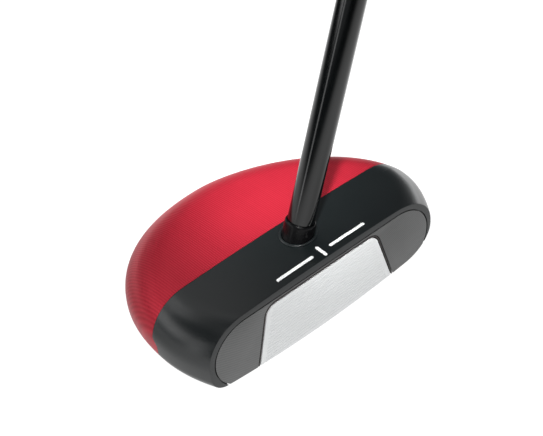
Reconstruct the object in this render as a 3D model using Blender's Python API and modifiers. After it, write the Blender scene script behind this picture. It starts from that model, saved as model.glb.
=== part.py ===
"""Mallet putter: a half-moon head in two colours, its steel shaft and its grip.

Frame: +X points to the heel, -Y to the target, +Z up. The origin is the point on the sole
plate that the head rests on. Every size below is in millimetres and is turned into metres
when a mesh is made.
"""
import math

import bmesh
import bpy
from mathutils import Matrix, Vector

MM = 0.001

# Fits
GAP = 0.3                     # clearance between two pieces that touch
SLOT_GAP = 0.2                # clearance around a paint fill

# Head envelope
CROWN_Z = 28.0                # crown height at the middle of the head
SOLE_Z = 0.3                  # sole of the castings, just clear of the flat sole plate
FACE_Y = -30.5                # face plane at crown level
LOFT = math.radians(3.0)
FRONT_Y = -45.0               # the envelope runs on past the face before it is cut
WIDEST_Y = -11.4
HALF_WIDTH_FACE = 51.2
HALF_WIDTH_TOE = 55.5
HALF_WIDTH_HEEL = 58.4
REAR_DEPTH = 54.0             # from the widest section back to the trailing edge
TOE_EXPONENT = 2.2            # superellipse exponents of the rear outline
HEEL_EXPONENT = 1.7
CROWN_RADIUS = 1000.0         # heel-to-toe camber of the crown
SOLE_RADIUS = 375.0           # heel-to-toe camber of the sole
CROWN_FALL = 4.5              # the crown falls this much over FALL_RUN behind FALL_Y
FALL_Y = -7.0
FALL_RUN = 40.0
TOE_SHOULDER = 13.6           # radii between crown and side
HEEL_SHOULDER = 12.5
REAR_SHOULDER = 18.0
TOE_KEEL = 5.0                # radii between side and sole
HEEL_KEEL = 9.0
REAR_KEEL = 5.5
SIDE_FLAT = 1.0               # least upright band between shoulder and keel
EDGE_BEVEL = 0.6

# Seam between the black front body and the red rear shell
SEAM_Y = -7.0
SEAM_STEP = 2.3               # the shell reaches this much further forward low on the sides
SEAM_STEP_TOP = 14.5
SEAM_STEP_BOTTOM = 12.0

# Face plate, insert and the layers behind them, in the plane of the face
PLATE_HALF_WIDTH = 48.5
PLATE_TOP = -2.95
PLATE_MIDDLE = -15.3          # height at which the plate is widest
PLATE_END_REACH = 14.0        # half-ellipse that rounds each end
PLATE_LOWER_RISE = 13.4
PLATE_THICK = 2.5
PLATE_FLOOR = 3.6
RIM_CLEARANCE = 0.45
INSERT_X = -0.65
INSERT_TOP = -4.6
INSERT_TOP_HALF = 24.5
INSERT_BOTTOM = -32.0         # runs past the sole before it is trimmed
INSERT_FLARE = 6.0 / 21.9     # sideways growth for each millimetre of height
INSERT_CORNER = 4.5
INSERT_THICK = 4.0
TRAY_RECESS = 0.8             # the lip of the tray sits below the face
TRAY_LIP = 0.45
TRAY_BACK = 6.3
INSERT_FLOOR = 7.5
BOND_THICK = 0.5

# Alignment marks on the crown
MARK_X = 2.2                  # middle of the marks and of the shaft, towards the heel
MARK_Y = -27.0
MARK_WIDTH = 1.2
MARK_DEPTH = 0.6
LINE_INNER = 3.7
LINE_OUTER = 19.8
DASH_HALF = 2.7

# Shaft, ferrule and grip, along the shaft's own axis from the crown
SHAFT_Y = -15.4
LIE_TILT = math.radians(19.5)
CLUB_LENGTH = 889.0
SHAFT_TIP_RADIUS = 4.7
SHAFT_BUTT_RADIUS = 7.4
SHAFT_WALL = 0.5
TAPER_START = 250.0
TAPER_END = 560.0
TIP_DEPTH = 17.5
BORE_DEPTH = 18.2
BORE_RADIUS = 5.7
FERRULE_RADIUS = 5.4
FERRULE_HEIGHT = 5.6
FERRULE_FLANGE_RADIUS = 6.1
GRIP_LENGTH = 270.0
GRIP_LOW_RADIUS = 11.2
GRIP_TOP_RADIUS = 13.6
GRIP_FLAT = 0.86              # distance of the flat front from the axis, as part of the radius
CAP_THICK = 3.0
TAPE_THICK = 0.4

# Inside the head
SHELL_WALL = 2.6
BODY_WALL = 3.4
POCKET_FRONT_Y = -20.5
WEB_HALF = 20.0               # solid middle of the body, around the shaft
WEB_THICK = 4.0
BODY_SCREW_X = 15.5
BODY_SCREW_Z = 13.0
BODY_SCREW_LENGTH = 12.0
BODY_SCREW_RADIUS = 1.5
BODY_SCREW_HEAD = 2.75

# Sole plate and sole weights
SOLE_PLATE_HALF_WIDTH = 19.0
SOLE_PLATE_FRONT = -2.0
SOLE_PLATE_REAR = 27.0
SOLE_PLATE_THICK = 1.6
SOLE_PLATE_CORNER = 6.0
SOLE_SCREW_RADIUS = 1.0
SOLE_SCREW_HEAD = 1.9
SOLE_SCREW_LENGTH = 5.0
SOLE_SCREW_MARGIN = 4.0       # screw axis in from the plate's edges
SOLE_SCREW_SINK = 0.2         # screw head below the plate's face
SOLE_SCREW_BOSS = 3.2
SOLE_SCREW_BOSS_TOP = 7.0
WEIGHT_X = 33.0
WEIGHT_Y = 6.0
WEIGHT_RADIUS = 6.5
WEIGHT_BOTTOM = 2.2
WEIGHT_HEIGHT = 7.0
WEIGHT_BOSS = 9.5
WEIGHT_BOSS_TOP = 13.0
WASHER_THICK = 0.8


# ---------------------------------------------------------------- scene helpers

def clear_scene():
    for old in list(bpy.data.objects):
        bpy.data.objects.remove(old, do_unlink=True)


def new_collection(name):
    collection = bpy.data.collections.new(name)
    bpy.context.scene.collection.children.link(collection)
    return collection


clear_scene()
PARTS = new_collection("mallet_putter")
CUTTERS = new_collection("cutters")


def material(name, color, roughness, metallic):
    made = bpy.data.materials.new(name)
    made.use_nodes = True
    shader = made.node_tree.nodes["Principled BSDF"]
    shader.inputs["Base Color"].default_value = (*color, 1.0)
    shader.inputs["Roughness"].default_value = roughness
    shader.inputs["Metallic"].default_value = metallic
    return made


def add_object(name, mesh, look=None, parent=None):
    """A part when it has a look, and a hidden cutter when it has none."""
    made = bpy.data.objects.new(name, mesh)
    if look:
        PARTS.objects.link(made)
        mesh.materials.append(look)
        mesh.shade_smooth()
        mesh.set_sharp_from_angle(angle=math.radians(35.0))
    else:
        CUTTERS.objects.link(made)
        made.hide_render = True
        made.display_type = "WIRE"
    if parent:
        made.parent = parent
    return made


def add_empty(name, location, rotation):
    made = bpy.data.objects.new(name, None)
    made.location = Vector(location) * MM
    made.rotation_euler = rotation
    PARTS.objects.link(made)
    return made


def boolean(target, cutter, operation="DIFFERENCE"):
    step = target.modifiers.new(f"{operation.lower()} {cutter.name}", "BOOLEAN")
    step.operation = operation
    step.solver = "EXACT"
    step.object = cutter


def bevel(target, width, limit=50.0):
    step = target.modifiers.new("edges", "BEVEL")
    step.width = width * MM
    step.segments = 2
    step.limit_method = "ANGLE"
    step.angle_limit = math.radians(limit)
    step.use_clamp_overlap = True


# ---------------------------------------------------------------- shape helpers

def mesh_from_bmesh(name, bm):
    mesh = bpy.data.meshes.new(name)
    bm.to_mesh(mesh)
    bm.free()
    return mesh


def block_mesh(name, low, high):
    bm = bmesh.new()
    bmesh.ops.create_cube(bm, size=1.0)
    size = [(b - a) * MM for a, b in zip(low, high)]
    middle = [(a + b) / 2 * MM for a, b in zip(low, high)]
    bmesh.ops.scale(bm, vec=size, verts=bm.verts)
    bmesh.ops.translate(bm, vec=middle, verts=bm.verts)
    return mesh_from_bmesh(name, bm)


def cylinder_mesh(name, radius, low, high, middle=(0.0, 0.0), segments=32):
    bm = bmesh.new()
    bmesh.ops.create_cone(bm, cap_ends=True, segments=segments, radius1=radius * MM,
                          radius2=radius * MM, depth=(high - low) * MM)
    shift = Vector((middle[0], middle[1], (low + high) / 2)) * MM
    bmesh.ops.translate(bm, vec=shift, verts=bm.verts)
    return mesh_from_bmesh(name, bm)


def turned(name, profile, look=None, parent=None, steps=32, closed=False):
    """Turns a profile of (radius, height) about Z. It starts at the top of its outer side."""
    bm = bmesh.new()
    points = [bm.verts.new((r * MM, 0.0, z * MM)) for r, z in profile]
    pairs = list(zip(points, points[1:]))
    if closed:
        pairs.append((points[-1], points[0]))
    for pair in pairs:
        bm.edges.new(pair)
    made = add_object(name, mesh_from_bmesh(name, bm), look, parent)
    spin = made.modifiers.new("turn", "SCREW")
    spin.axis = "Z"
    spin.angle = math.tau
    spin.steps = steps
    spin.render_steps = steps
    spin.use_merge_vertices = True
    spin.merge_threshold = 0.00001
    spin.use_smooth_shade = True
    return made


def outline_mesh(name, outline, low, high, upright=False):
    """A flat outline given thickness along Z, or along Y when it stands upright in XZ."""
    curve = bpy.data.curves.new(name, "CURVE")
    curve.dimensions = "2D"
    curve.fill_mode = "BOTH"
    curve.extrude = (high - low) / 2 * MM
    spline = curve.splines.new("POLY")
    spline.points.add(len(outline) - 1)
    for point, (u, v) in zip(spline.points, outline):
        point.co = (u * MM, v * MM, 0.0, 1.0)
    spline.use_cyclic_u = True
    holder = bpy.data.objects.new(name, curve)
    CUTTERS.objects.link(holder)
    depsgraph = bpy.context.evaluated_depsgraph_get()
    mesh = bpy.data.meshes.new_from_object(holder.evaluated_get(depsgraph))
    bpy.data.objects.remove(holder, do_unlink=True)
    bpy.data.curves.remove(curve)
    bm = bmesh.new()
    bm.from_mesh(mesh)
    bmesh.ops.remove_doubles(bm, verts=bm.verts, dist=0.00001)
    middle = (low + high) / 2 * MM
    place = Matrix.Translation((0.0, 0.0, middle))
    if upright:
        place = Matrix.Rotation(math.radians(90.0), 4, "X") @ Matrix.Translation((0.0, 0.0, -middle))
    bmesh.ops.transform(bm, matrix=place, verts=bm.verts)
    bmesh.ops.recalc_face_normals(bm, faces=bm.faces)
    bm.to_mesh(mesh)
    bm.free()
    mesh.name = name
    return mesh


def arc(middle, radii, start, end, count):
    """Points on an ellipse from one angle to another, both in degrees."""
    points = []
    for index in range(count + 1):
        angle = math.radians(start + (end - start) * index / count)
        points.append((middle[0] + radii[0] * math.cos(angle),
                       middle[1] + radii[1] * math.sin(angle)))
    return points


def stadium(half_length, half_width, middle=(0.0, 0.0), along_y=False, count=8):
    reach = half_length - half_width
    radii = (half_width, half_width)
    points = arc((reach, 0.0), radii, -90, 90, count) + arc((-reach, 0.0), radii, 90, 270, count)
    if along_y:
        points = [(-v, u) for u, v in points]
    return [(u + middle[0], v + middle[1]) for u, v in points]


def rounded_rectangle(low, high, radius, count=5):
    corners = ((high[0] - radius, low[1] + radius, -90), (high[0] - radius, high[1] - radius, 0),
               (low[0] + radius, high[1] - radius, 90), (low[0] + radius, low[1] + radius, 180))
    points = []
    for x, y, start in corners:
        points += arc((x, y), (radius, radius), start, start + 90, count)
    return points


# ---------------------------------------------------------------- head envelope

REAR_STEPS = 44
SIDE_STEPS = 7
SHOULDER_STEPS = 6
KEEL_STEPS = 4
CROSS_STEPS = 10


def crown_height(x, y):
    fall = max(0.0, y - FALL_Y) / FALL_RUN
    return CROWN_Z - x * x / (2 * CROWN_RADIUS) - CROWN_FALL * fall * fall


def sole_height(x, y):
    return SOLE_Z + x * x / (2 * SOLE_RADIUS)


def side_point(y, heel):
    """Half width of the head ahead of its widest section."""
    widest = HALF_WIDTH_HEEL if heel else HALF_WIDTH_TOE
    run = (WIDEST_Y - y) / (WIDEST_Y - FACE_Y)
    return widest - (widest - HALF_WIDTH_FACE) * run * run


def rear_point(angle):
    heel = math.cos(angle) > 0.0
    width = HALF_WIDTH_HEEL if heel else HALF_WIDTH_TOE
    power = 2.0 / (HEEL_EXPONENT if heel else TOE_EXPONENT)
    x = math.copysign(width * abs(math.cos(angle)) ** power, math.cos(angle))
    return x, WIDEST_Y + REAR_DEPTH * abs(math.sin(angle)) ** power


def head_outline():
    """Plan outline at the widest level, from the heel's front corner round to the toe's."""
    rows = [FRONT_Y + (WIDEST_Y - FRONT_Y) * i / SIDE_STEPS for i in range(SIDE_STEPS)]
    heel_side = [(side_point(y, True), y) for y in rows]
    rear = [rear_point(math.pi * i / REAR_STEPS) for i in range(REAR_STEPS + 1)]
    toe_side = [(-side_point(y, False), y) for y in reversed(rows)]
    return heel_side + rear + toe_side


def outward(points, index):
    before = Vector(points[max(index - 1, 0)])
    after = Vector(points[min(index + 1, len(points) - 1)])
    along = (after - before).normalized()
    return Vector((along.y, -along.x))


def head_column(point, normal, inset):
    """One section through the rim: from the crown, over the shoulder, down to the sole."""
    rearward = min(max((point[1] - WIDEST_Y) / REAR_DEPTH, 0.0), 1.0)
    heel = point[0] > 0.0
    side_shoulder = HEEL_SHOULDER if heel else TOE_SHOULDER
    side_keel = HEEL_KEEL if heel else TOE_KEEL
    shoulder = side_shoulder + (REAR_SHOULDER - side_shoulder) * rearward
    keel = side_keel + (REAR_KEEL - side_keel) * rearward
    room = crown_height(*point) - sole_height(*point) - keel - SIDE_FLAT
    drop = min(shoulder, room)
    column = []

    def add_point(back, turned_part, reach, height, sign):
        x = point[0] - normal.x * (inset + back * (1 - turned_part))
        y = point[1] - normal.y * (inset + back * (1 - turned_part))
        level = height(x, y) + sign * (inset + reach)
        column.append((x, max(y, FRONT_Y), level))

    for step in range(SHOULDER_STEPS + 1):
        angle = math.pi / 2 * step / SHOULDER_STEPS
        reach = (drop - inset) * (1 - math.cos(angle))
        add_point(shoulder - inset, math.sin(angle), reach, crown_height, -1)
    for step in range(KEEL_STEPS + 1):
        angle = math.pi / 2 * (1 - step / KEEL_STEPS)
        radius = max(keel - inset, 1.0)
        reach = radius * (1 - math.cos(angle))
        add_point(radius, math.sin(angle), reach, sole_height, 1)
    return column


def head_mesh(name, inset=0.0):
    """The whole head as one loft, or the same shape a wall thickness smaller."""
    outline = head_outline()
    bm = bmesh.new()
    columns = []
    for index, point in enumerate(outline):
        normal = outward(outline, index)
        column = head_column(point, normal, inset)
        if index in (0, len(outline) - 1):
            column = [(x, FRONT_Y, z) for x, _, z in column]
        columns.append([bm.verts.new(Vector(p) * MM) for p in column])
    for near, far in zip(columns, columns[1:]):
        for row in range(len(near) - 1):
            bm.faces.new((near[row], near[row + 1], far[row + 1], far[row]))
    last = len(columns) - 1
    for row, height, lift in ((0, crown_height, -inset), (-1, sole_height, inset)):
        rungs = []
        for index in range(last // 2):
            heel, toe = columns[index][row], columns[last - index][row]
            rung = [heel]
            for step in range(1, CROSS_STEPS):
                spot = heel.co.lerp(toe.co, step / CROSS_STEPS)
                spot.z = (height(spot.x / MM, spot.y / MM) + lift) * MM
                rung.append(bm.verts.new(spot))
            rungs.append(rung + [toe])
        for near, far in zip(rungs, rungs[1:]):
            for step in range(CROSS_STEPS):
                bm.faces.new((near[step], far[step], far[step + 1], near[step + 1]))
        tip = columns[last // 2][row]
        for step in range(CROSS_STEPS):
            bm.faces.new((rungs[-1][step], tip, rungs[-1][step + 1]))
        if row == 0:
            crown_rung = rungs[0]
        else:
            sole_rung = rungs[0]
    heel_side = columns[0][1:-1]
    toe_side = columns[last][1:-1]
    bm.faces.new(crown_rung + toe_side + sole_rung[::-1] + heel_side[::-1])
    bmesh.ops.recalc_face_normals(bm, faces=bm.faces)
    return mesh_from_bmesh(name, bm)


def seam_outline(shift, far):
    """The seam seen from the side, closed at a far Y on the side that is cut away."""
    return [(far, -20.0), (far, 60.0), (SEAM_Y + shift, 60.0), (SEAM_Y + shift, SEAM_STEP_TOP),
            (SEAM_Y - SEAM_STEP + shift, SEAM_STEP_BOTTOM), (SEAM_Y - SEAM_STEP + shift, -20.0)]


def seam_cutter(name, shift, far):
    """A prism along X: the outline is drawn in Y and Z."""
    mesh = outline_mesh(name, seam_outline(shift, far), -80.0, 80.0)
    stand = Matrix(((0, 0, 1, 0), (1, 0, 0, 0), (0, 1, 0, 0), (0, 0, 0, 1)))
    mesh.transform(stand)
    return add_object(name, mesh)


# ---------------------------------------------------------------- outlines on the face

def plate_outline(grow=0.0):
    reach = PLATE_HALF_WIDTH - PLATE_END_REACH
    upper = (PLATE_END_REACH + grow, PLATE_TOP - PLATE_MIDDLE + grow)
    lower = (PLATE_END_REACH + grow, PLATE_LOWER_RISE + grow)
    middle = (reach, PLATE_MIDDLE)
    heel = arc(middle, lower, -75, 0, 6)[:-1] + arc(middle, upper, 0, 90, 8)
    toe = [(-x, z) for x, z in reversed(heel)]
    floor = PLATE_MIDDLE - 20.0
    return [(heel[0][0], floor)] + heel + toe + [(toe[-1][0], floor)]


def insert_outline(grow=0.0):
    """Trapezium with rounded top corners, running on below the sole."""
    side_angle = math.degrees(math.atan(INSERT_FLARE))
    radius = INSERT_CORNER + grow
    slant = math.hypot(1.0, INSERT_FLARE)
    top = INSERT_TOP + grow
    half = INSERT_TOP_HALF - INSERT_FLARE * grow + grow * slant
    corner_z = top - radius
    corner_x = half + INSERT_FLARE * radius - radius * slant
    heel = arc((corner_x, corner_z), (radius, radius), side_angle, 90, 6)
    low = half + INSERT_FLARE * (top - INSERT_BOTTOM)
    right = [(low, INSERT_BOTTOM)] + heel
    left = [(-x, z) for x, z in reversed(right)]
    return [(x + INSERT_X, z) for x, z in right + left]


# ---------------------------------------------------------------- materials

SATIN_BLACK = material("satin_black_steel", (0.022, 0.025, 0.027), 0.42, 0.6)
RED = material("red_anodised_aluminium", (0.62, 0.03, 0.06), 0.38, 0.8)
MILLED_GREY = material("milled_grey_metal", (0.16, 0.16, 0.16), 0.45, 0.9)
WHITE = material("white_urethane", (0.82, 0.83, 0.83), 0.5, 0.0)
DARK_METAL = material("dark_anodised_metal", (0.04, 0.035, 0.035), 0.5, 0.7)
ADHESIVE = material("adhesive", (0.55, 0.5, 0.36), 0.6, 0.0)
PAINT = material("white_paint", (0.9, 0.91, 0.9), 0.45, 0.0)
GLOSS_BLACK = material("gloss_black_shaft", (0.012, 0.013, 0.014), 0.12, 0.5)
FERRULE_BLACK = material("ferrule_plastic", (0.01, 0.01, 0.01), 0.15, 0.0)
RUBBER = material("grip_rubber", (0.02, 0.02, 0.022), 0.75, 0.0)
TAPE = material("grip_tape", (0.5, 0.44, 0.3), 0.8, 0.0)
CORK = material("cork", (0.42, 0.27, 0.14), 0.9, 0.0)
STEEL = material("bright_steel", (0.55, 0.55, 0.54), 0.3, 1.0)
TUNGSTEN = material("dark_weight_steel", (0.12, 0.12, 0.125), 0.35, 1.0)


# ---------------------------------------------------------------- frames

FACE_FRAME = add_empty("face_frame", (0.0, FACE_Y, CROWN_Z), (-LOFT, 0.0, 0.0))
SHAFT_FRAME = add_empty("shaft_frame", (MARK_X, SHAFT_Y, CROWN_Z), (0.0, LIE_TILT, 0.0))


# ---------------------------------------------------------------- castings

HEAD = add_object("head_envelope", head_mesh("head_envelope"))


def face_cutter(name, outline, low, high):
    return add_object(name, outline_mesh(name, outline, low, high, upright=True), None, FACE_FRAME)


def pocket_cutter(name, inner, low_x, high_x):
    """Hollow behind the face: a block trimmed to the head's shape a wall thickness in."""
    mesh = block_mesh(name, (low_x, POCKET_FRONT_Y, -5.0), (high_x, SEAM_Y + 5.0, 40.0))
    made = add_object(name, mesh)
    boolean(made, inner, "INTERSECT")
    return made


def mark_slots():
    """Cutter outlines and fills of the three alignment marks share these shapes."""
    reach = (LINE_OUTER - LINE_INNER) / 2
    middle = (LINE_OUTER + LINE_INNER) / 2
    half = MARK_WIDTH / 2
    return (("alignment_line_toe", (MARK_X - middle, MARK_Y), reach, half, False),
            ("alignment_line_heel", (MARK_X + middle, MARK_Y), reach, half, False),
            ("alignment_dash_centre", (MARK_X, MARK_Y), DASH_HALF, half, True))


def body_screw_frames():
    for label, side in (("toe", -1), ("heel", 1)):
        yield label, side * BODY_SCREW_X


def screw_hole(name, x, radius, low, high):
    """A round hole along Y at a body screw."""
    mesh = cylinder_mesh(name, radius, low, high, segments=20)
    place = Matrix.Translation((x * MM, 0.0, BODY_SCREW_Z * MM))
    mesh.transform(place @ Matrix.Rotation(math.radians(-90.0), 4, "X"))
    return add_object(name, mesh)


def make_front_body():
    body = add_object("front_body", head_mesh("front_body"), SATIN_BLACK)
    ahead = block_mesh("ahead_of_face", (-80.0, -40.0, -60.0), (80.0, 0.0, 40.0))
    boolean(body, add_object("ahead_of_face", ahead, None, FACE_FRAME))
    boolean(body, seam_cutter("behind_seam", 0.0, 80.0))
    bevel(body, EDGE_BEVEL)
    boolean(body, face_cutter("plate_pocket", plate_outline(RIM_CLEARANCE), -5.0, PLATE_FLOOR))
    boolean(body, face_cutter("insert_pocket", insert_outline(TRAY_LIP + 2 * GAP), -5.0, INSERT_FLOOR))
    inner = add_object("head_less_body_wall", head_mesh("head_less_body_wall", BODY_WALL))
    boolean(body, pocket_cutter("toe_pocket", inner, -70.0, -WEB_HALF))
    boolean(body, pocket_cutter("heel_pocket", inner, WEB_HALF, 70.0))
    bore = cylinder_mesh("shaft_bore", BORE_RADIUS, -BORE_DEPTH, 20.0)
    boolean(body, add_object("shaft_bore", bore, None, SHAFT_FRAME))
    for name, middle, reach, half, along_y in mark_slots():
        shape = stadium(reach + SLOT_GAP, half + SLOT_GAP, middle, along_y)
        low = CROWN_Z - MARK_DEPTH - SLOT_GAP
        boolean(body, add_object(name + "_slot", outline_mesh(name + "_slot", shape, low, 35.0)))
    for label, x in body_screw_frames():
        low = SEAM_Y + WEB_THICK - BODY_SCREW_LENGTH - GAP
        boolean(body, screw_hole(label + "_thread_hole", x, BODY_SCREW_RADIUS + GAP, low, 0.0))
    return body


def make_rear_shell():
    shell = add_object("rear_shell", head_mesh("rear_shell"), RED)
    boolean(shell, seam_cutter("ahead_of_seam", GAP, -80.0))
    cavity = add_object("shell_cavity", head_mesh("shell_cavity", SHELL_WALL))
    web = block_mesh("screw_web", (-WEB_HALF, -60.0, -5.0), (WEB_HALF, SEAM_Y + GAP + WEB_THICK, 40.0))
    boolean(cavity, add_object("screw_web", web))
    for label, side in (("toe", -1), ("heel", 1)):
        middle = (side * WEIGHT_X, WEIGHT_Y)
        boss = cylinder_mesh(label + "_weight_boss", WEIGHT_BOSS, -5.0, WEIGHT_BOSS_TOP, middle)
        boolean(cavity, add_object(label + "_weight_boss", boss))
    for label, x, y in sole_screw_places():
        boss = cylinder_mesh(label + "_boss", SOLE_SCREW_BOSS, -5.0, SOLE_SCREW_BOSS_TOP, (x, y), 20)
        boolean(cavity, add_object(label + "_boss", boss))
    boolean(shell, cavity)
    for label, side in (("toe", -1), ("heel", 1)):
        middle = (side * WEIGHT_X, WEIGHT_Y)
        top = WEIGHT_BOTTOM + WEIGHT_HEIGHT + WASHER_THICK + 2 * GAP
        hole = cylinder_mesh(label + "_weight_hole", WEIGHT_RADIUS + GAP, -5.0, top, middle)
        boolean(shell, add_object(label + "_weight_hole", hole))
    recess = rounded_rectangle((-SOLE_PLATE_HALF_WIDTH - GAP, SOLE_PLATE_FRONT - GAP),
                               (SOLE_PLATE_HALF_WIDTH + GAP, SOLE_PLATE_REAR + GAP),
                               SOLE_PLATE_CORNER + GAP)
    boolean(shell, add_object("sole_recess", outline_mesh("sole_recess", recess, -5.0,
                                                          SOLE_PLATE_THICK + GAP)))
    for label, x, y in sole_screw_places():
        depth = SOLE_SCREW_LENGTH + 3 * GAP
        hole = cylinder_mesh(label + "_hole", SOLE_SCREW_RADIUS + GAP, -5.0, depth, (x, y), 16)
        boolean(shell, add_object(label + "_hole", hole))
    for label, x in body_screw_frames():
        boolean(shell, screw_hole(label + "_clearance_hole", x, BODY_SCREW_RADIUS + GAP, -20.0, 3.0))
    return shell


# ---------------------------------------------------------------- face

def trimmed_face_piece(name, outline, low, high, look):
    """A layer of the face, cut off flush with the sole."""
    mesh = outline_mesh(name, outline, low, high, upright=True)
    made = add_object(name, mesh, look, FACE_FRAME)
    boolean(made, HEAD, "INTERSECT")
    return made


def make_face():
    plate = trimmed_face_piece("face_plate", plate_outline(), 0.0, PLATE_THICK, MILLED_GREY)
    window = insert_outline(TRAY_LIP + 2 * GAP)
    boolean(plate, face_cutter("plate_window", window, -5.0, 10.0))

    bond_window = face_cutter("bond_window", insert_outline(3.0), -5.0, 10.0)
    for label, side in (("toe", -1), ("heel", 1)):
        name = "face_plate_bond_" + label
        bond = trimmed_face_piece(name, plate_outline(-1.5), PLATE_THICK + GAP,
                                  PLATE_THICK + GAP + BOND_THICK, ADHESIVE)
        boolean(bond, bond_window)
        other_side = sorted((INSERT_X, -side * 80.0))
        block = block_mesh(name + "_half", (other_side[0], -60.0, -20.0), (other_side[1], 0.0, 60.0))
        boolean(bond, add_object(name + "_half", block))

    trimmed_face_piece("face_insert", insert_outline(), 0.0, INSERT_THICK, WHITE)

    tray = trimmed_face_piece("insert_tray", insert_outline(TRAY_LIP + GAP), TRAY_RECESS,
                              TRAY_BACK, DARK_METAL)
    boolean(tray, face_cutter("tray_hollow", insert_outline(GAP), -5.0, INSERT_THICK + GAP))

    trimmed_face_piece("insert_bond", insert_outline(-1.0), TRAY_BACK + GAP,
                       TRAY_BACK + GAP + BOND_THICK, ADHESIVE)


def make_marks():
    for name, middle, reach, half, along_y in mark_slots():
        shape = stadium(reach, half, middle, along_y)
        mesh = outline_mesh(name, shape, CROWN_Z - MARK_DEPTH, 35.0)
        boolean(add_object(name, mesh, PAINT), HEAD, "INTERSECT")


# ---------------------------------------------------------------- shaft and grip

BUTT = CLUB_LENGTH - CROWN_Z / math.cos(LIE_TILT)
GRIP_TOP = BUTT - CAP_THICK - GAP
GRIP_BOTTOM = GRIP_TOP - GRIP_LENGTH


def shaft_radius(height):
    part = (height - TAPER_START) / (TAPER_END - TAPER_START)
    part = min(max(part, 0.0), 1.0)
    return SHAFT_TIP_RADIUS + (SHAFT_BUTT_RADIUS - SHAFT_TIP_RADIUS) * part


def sleeve_profile(low, high, inner_offset, outer_offset):
    """A closed profile that follows the shaft's taper at two distances from its surface."""
    stations = [high] + [h for h in (TAPER_END, TAPER_START) if low < h < high] + [low]
    outer = [(shaft_radius(h) + outer_offset, h) for h in stations]
    inner = [(shaft_radius(h) + inner_offset, h) for h in reversed(stations)]
    return outer + inner


def make_shaft():
    shaft_top = GRIP_TOP - 1.0
    turned("shaft", sleeve_profile(-TIP_DEPTH, shaft_top, -SHAFT_WALL, 0.0), GLOSS_BLACK,
           SHAFT_FRAME, closed=True)
    bond_inner = SHAFT_TIP_RADIUS + GAP
    bond_outer = BORE_RADIUS - GAP
    bond_top = -2.6
    turned("shaft_bond", [(bond_outer, bond_top), (bond_outer, -TIP_DEPTH + 0.5),
                          (bond_inner, -TIP_DEPTH + 0.5), (bond_inner, bond_top)],
           ADHESIVE, SHAFT_FRAME, closed=True)
    plug_radius = SHAFT_TIP_RADIUS - SHAFT_WALL - GAP
    plug_top = -TIP_DEPTH + 9.0
    turned("shaft_tip_plug", [(0.0, plug_top), (plug_radius - 0.4, plug_top),
                              (plug_radius, plug_top - 0.4), (plug_radius, -TIP_DEPTH + 0.6),
                              (0.0, -TIP_DEPTH + 0.6)], CORK, SHAFT_FRAME, steps=24)


def make_ferrule():
    inner = SHAFT_TIP_RADIUS + SLOT_GAP
    profile = [(FERRULE_RADIUS - 0.25, FERRULE_HEIGHT), (FERRULE_RADIUS, FERRULE_HEIGHT - 0.25),
               (FERRULE_RADIUS, -6.0), (inner, -6.0), (inner, FERRULE_HEIGHT)]
    ferrule = turned("ferrule", profile, FERRULE_BLACK, SHAFT_FRAME, steps=40, closed=True)
    below = block_mesh("below_crown", (-40.0, -50.0, 0.0), (40.0, 20.0, CROWN_Z + GAP))
    boolean(ferrule, add_object("below_crown", below))
    return ferrule


def make_crown_ring():
    """A thin bright-edged ring that seats the ferrule on the crown."""
    profile = [(FERRULE_FLANGE_RADIUS + 0.2, 20.0), (FERRULE_FLANGE_RADIUS + 0.2, -20.0),
               (FERRULE_RADIUS + SLOT_GAP, -20.0), (FERRULE_RADIUS + SLOT_GAP, 20.0)]
    ring = turned("ferrule_seat_ring", profile, SATIN_BLACK, SHAFT_FRAME, steps=40, closed=True)
    slab = block_mesh("seat_slab", (-40.0, -50.0, CROWN_Z + GAP), (40.0, 20.0, CROWN_Z + GAP + 0.6))
    boolean(ring, add_object("seat_slab", slab), "INTERSECT")
    return ring


def grip_radius(height):
    part = (height - GRIP_BOTTOM) / GRIP_LENGTH
    return GRIP_LOW_RADIUS + (GRIP_TOP_RADIUS - GRIP_LOW_RADIUS) * part


def make_grip():
    turned("grip_tape", sleeve_profile(GRIP_BOTTOM + 5.0, GRIP_TOP - 5.0, GAP, GAP + TAPE_THICK),
           TAPE, SHAFT_FRAME, closed=True)
    bore = 2 * GAP + TAPE_THICK
    rounding = [(1.0, 0.0), (0.3, 1.0), (0.0, 2.6)]
    top = [(grip_radius(GRIP_TOP) - inset, GRIP_TOP - drop) for inset, drop in rounding]
    bottom = [(grip_radius(GRIP_BOTTOM) - inset, GRIP_BOTTOM + drop)
              for inset, drop in reversed(rounding)]
    inner = [(shaft_radius(height) + bore, height) for height in (GRIP_BOTTOM, GRIP_TOP)]
    grip = turned("grip", top + bottom + inner, RUBBER, SHAFT_FRAME, steps=36, closed=True)
    flat = block_mesh("grip_flat", (-40.0, -40.0, -200.0), (40.0, 0.0, 200.0))
    cutter = add_object("grip_flat", flat, None, SHAFT_FRAME)
    middle = (GRIP_TOP + GRIP_BOTTOM) / 2
    lean = math.atan2((GRIP_TOP_RADIUS - GRIP_LOW_RADIUS) * GRIP_FLAT, GRIP_LENGTH)
    cutter.location = (0.0, -grip_radius(middle) * GRIP_FLAT * MM, middle * MM)
    cutter.rotation_euler = (lean, 0.0, 0.0)
    boolean(grip, cutter)
    return cutter


def make_grip_cap(flat_cutter):
    radius = GRIP_TOP_RADIUS - 1.0
    spigot = SHAFT_BUTT_RADIUS - SHAFT_WALL - GAP
    low = BUTT - CAP_THICK
    profile = [(0.0, BUTT), (radius - 0.8, BUTT), (radius, BUTT - 0.8), (radius, low),
               (spigot, low), (spigot, low - 6.0), (0.0, low - 6.0)]
    cap = turned("grip_cap", profile, RUBBER, SHAFT_FRAME, steps=36)
    boolean(cap, flat_cutter)


# ---------------------------------------------------------------- sole and fasteners

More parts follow.
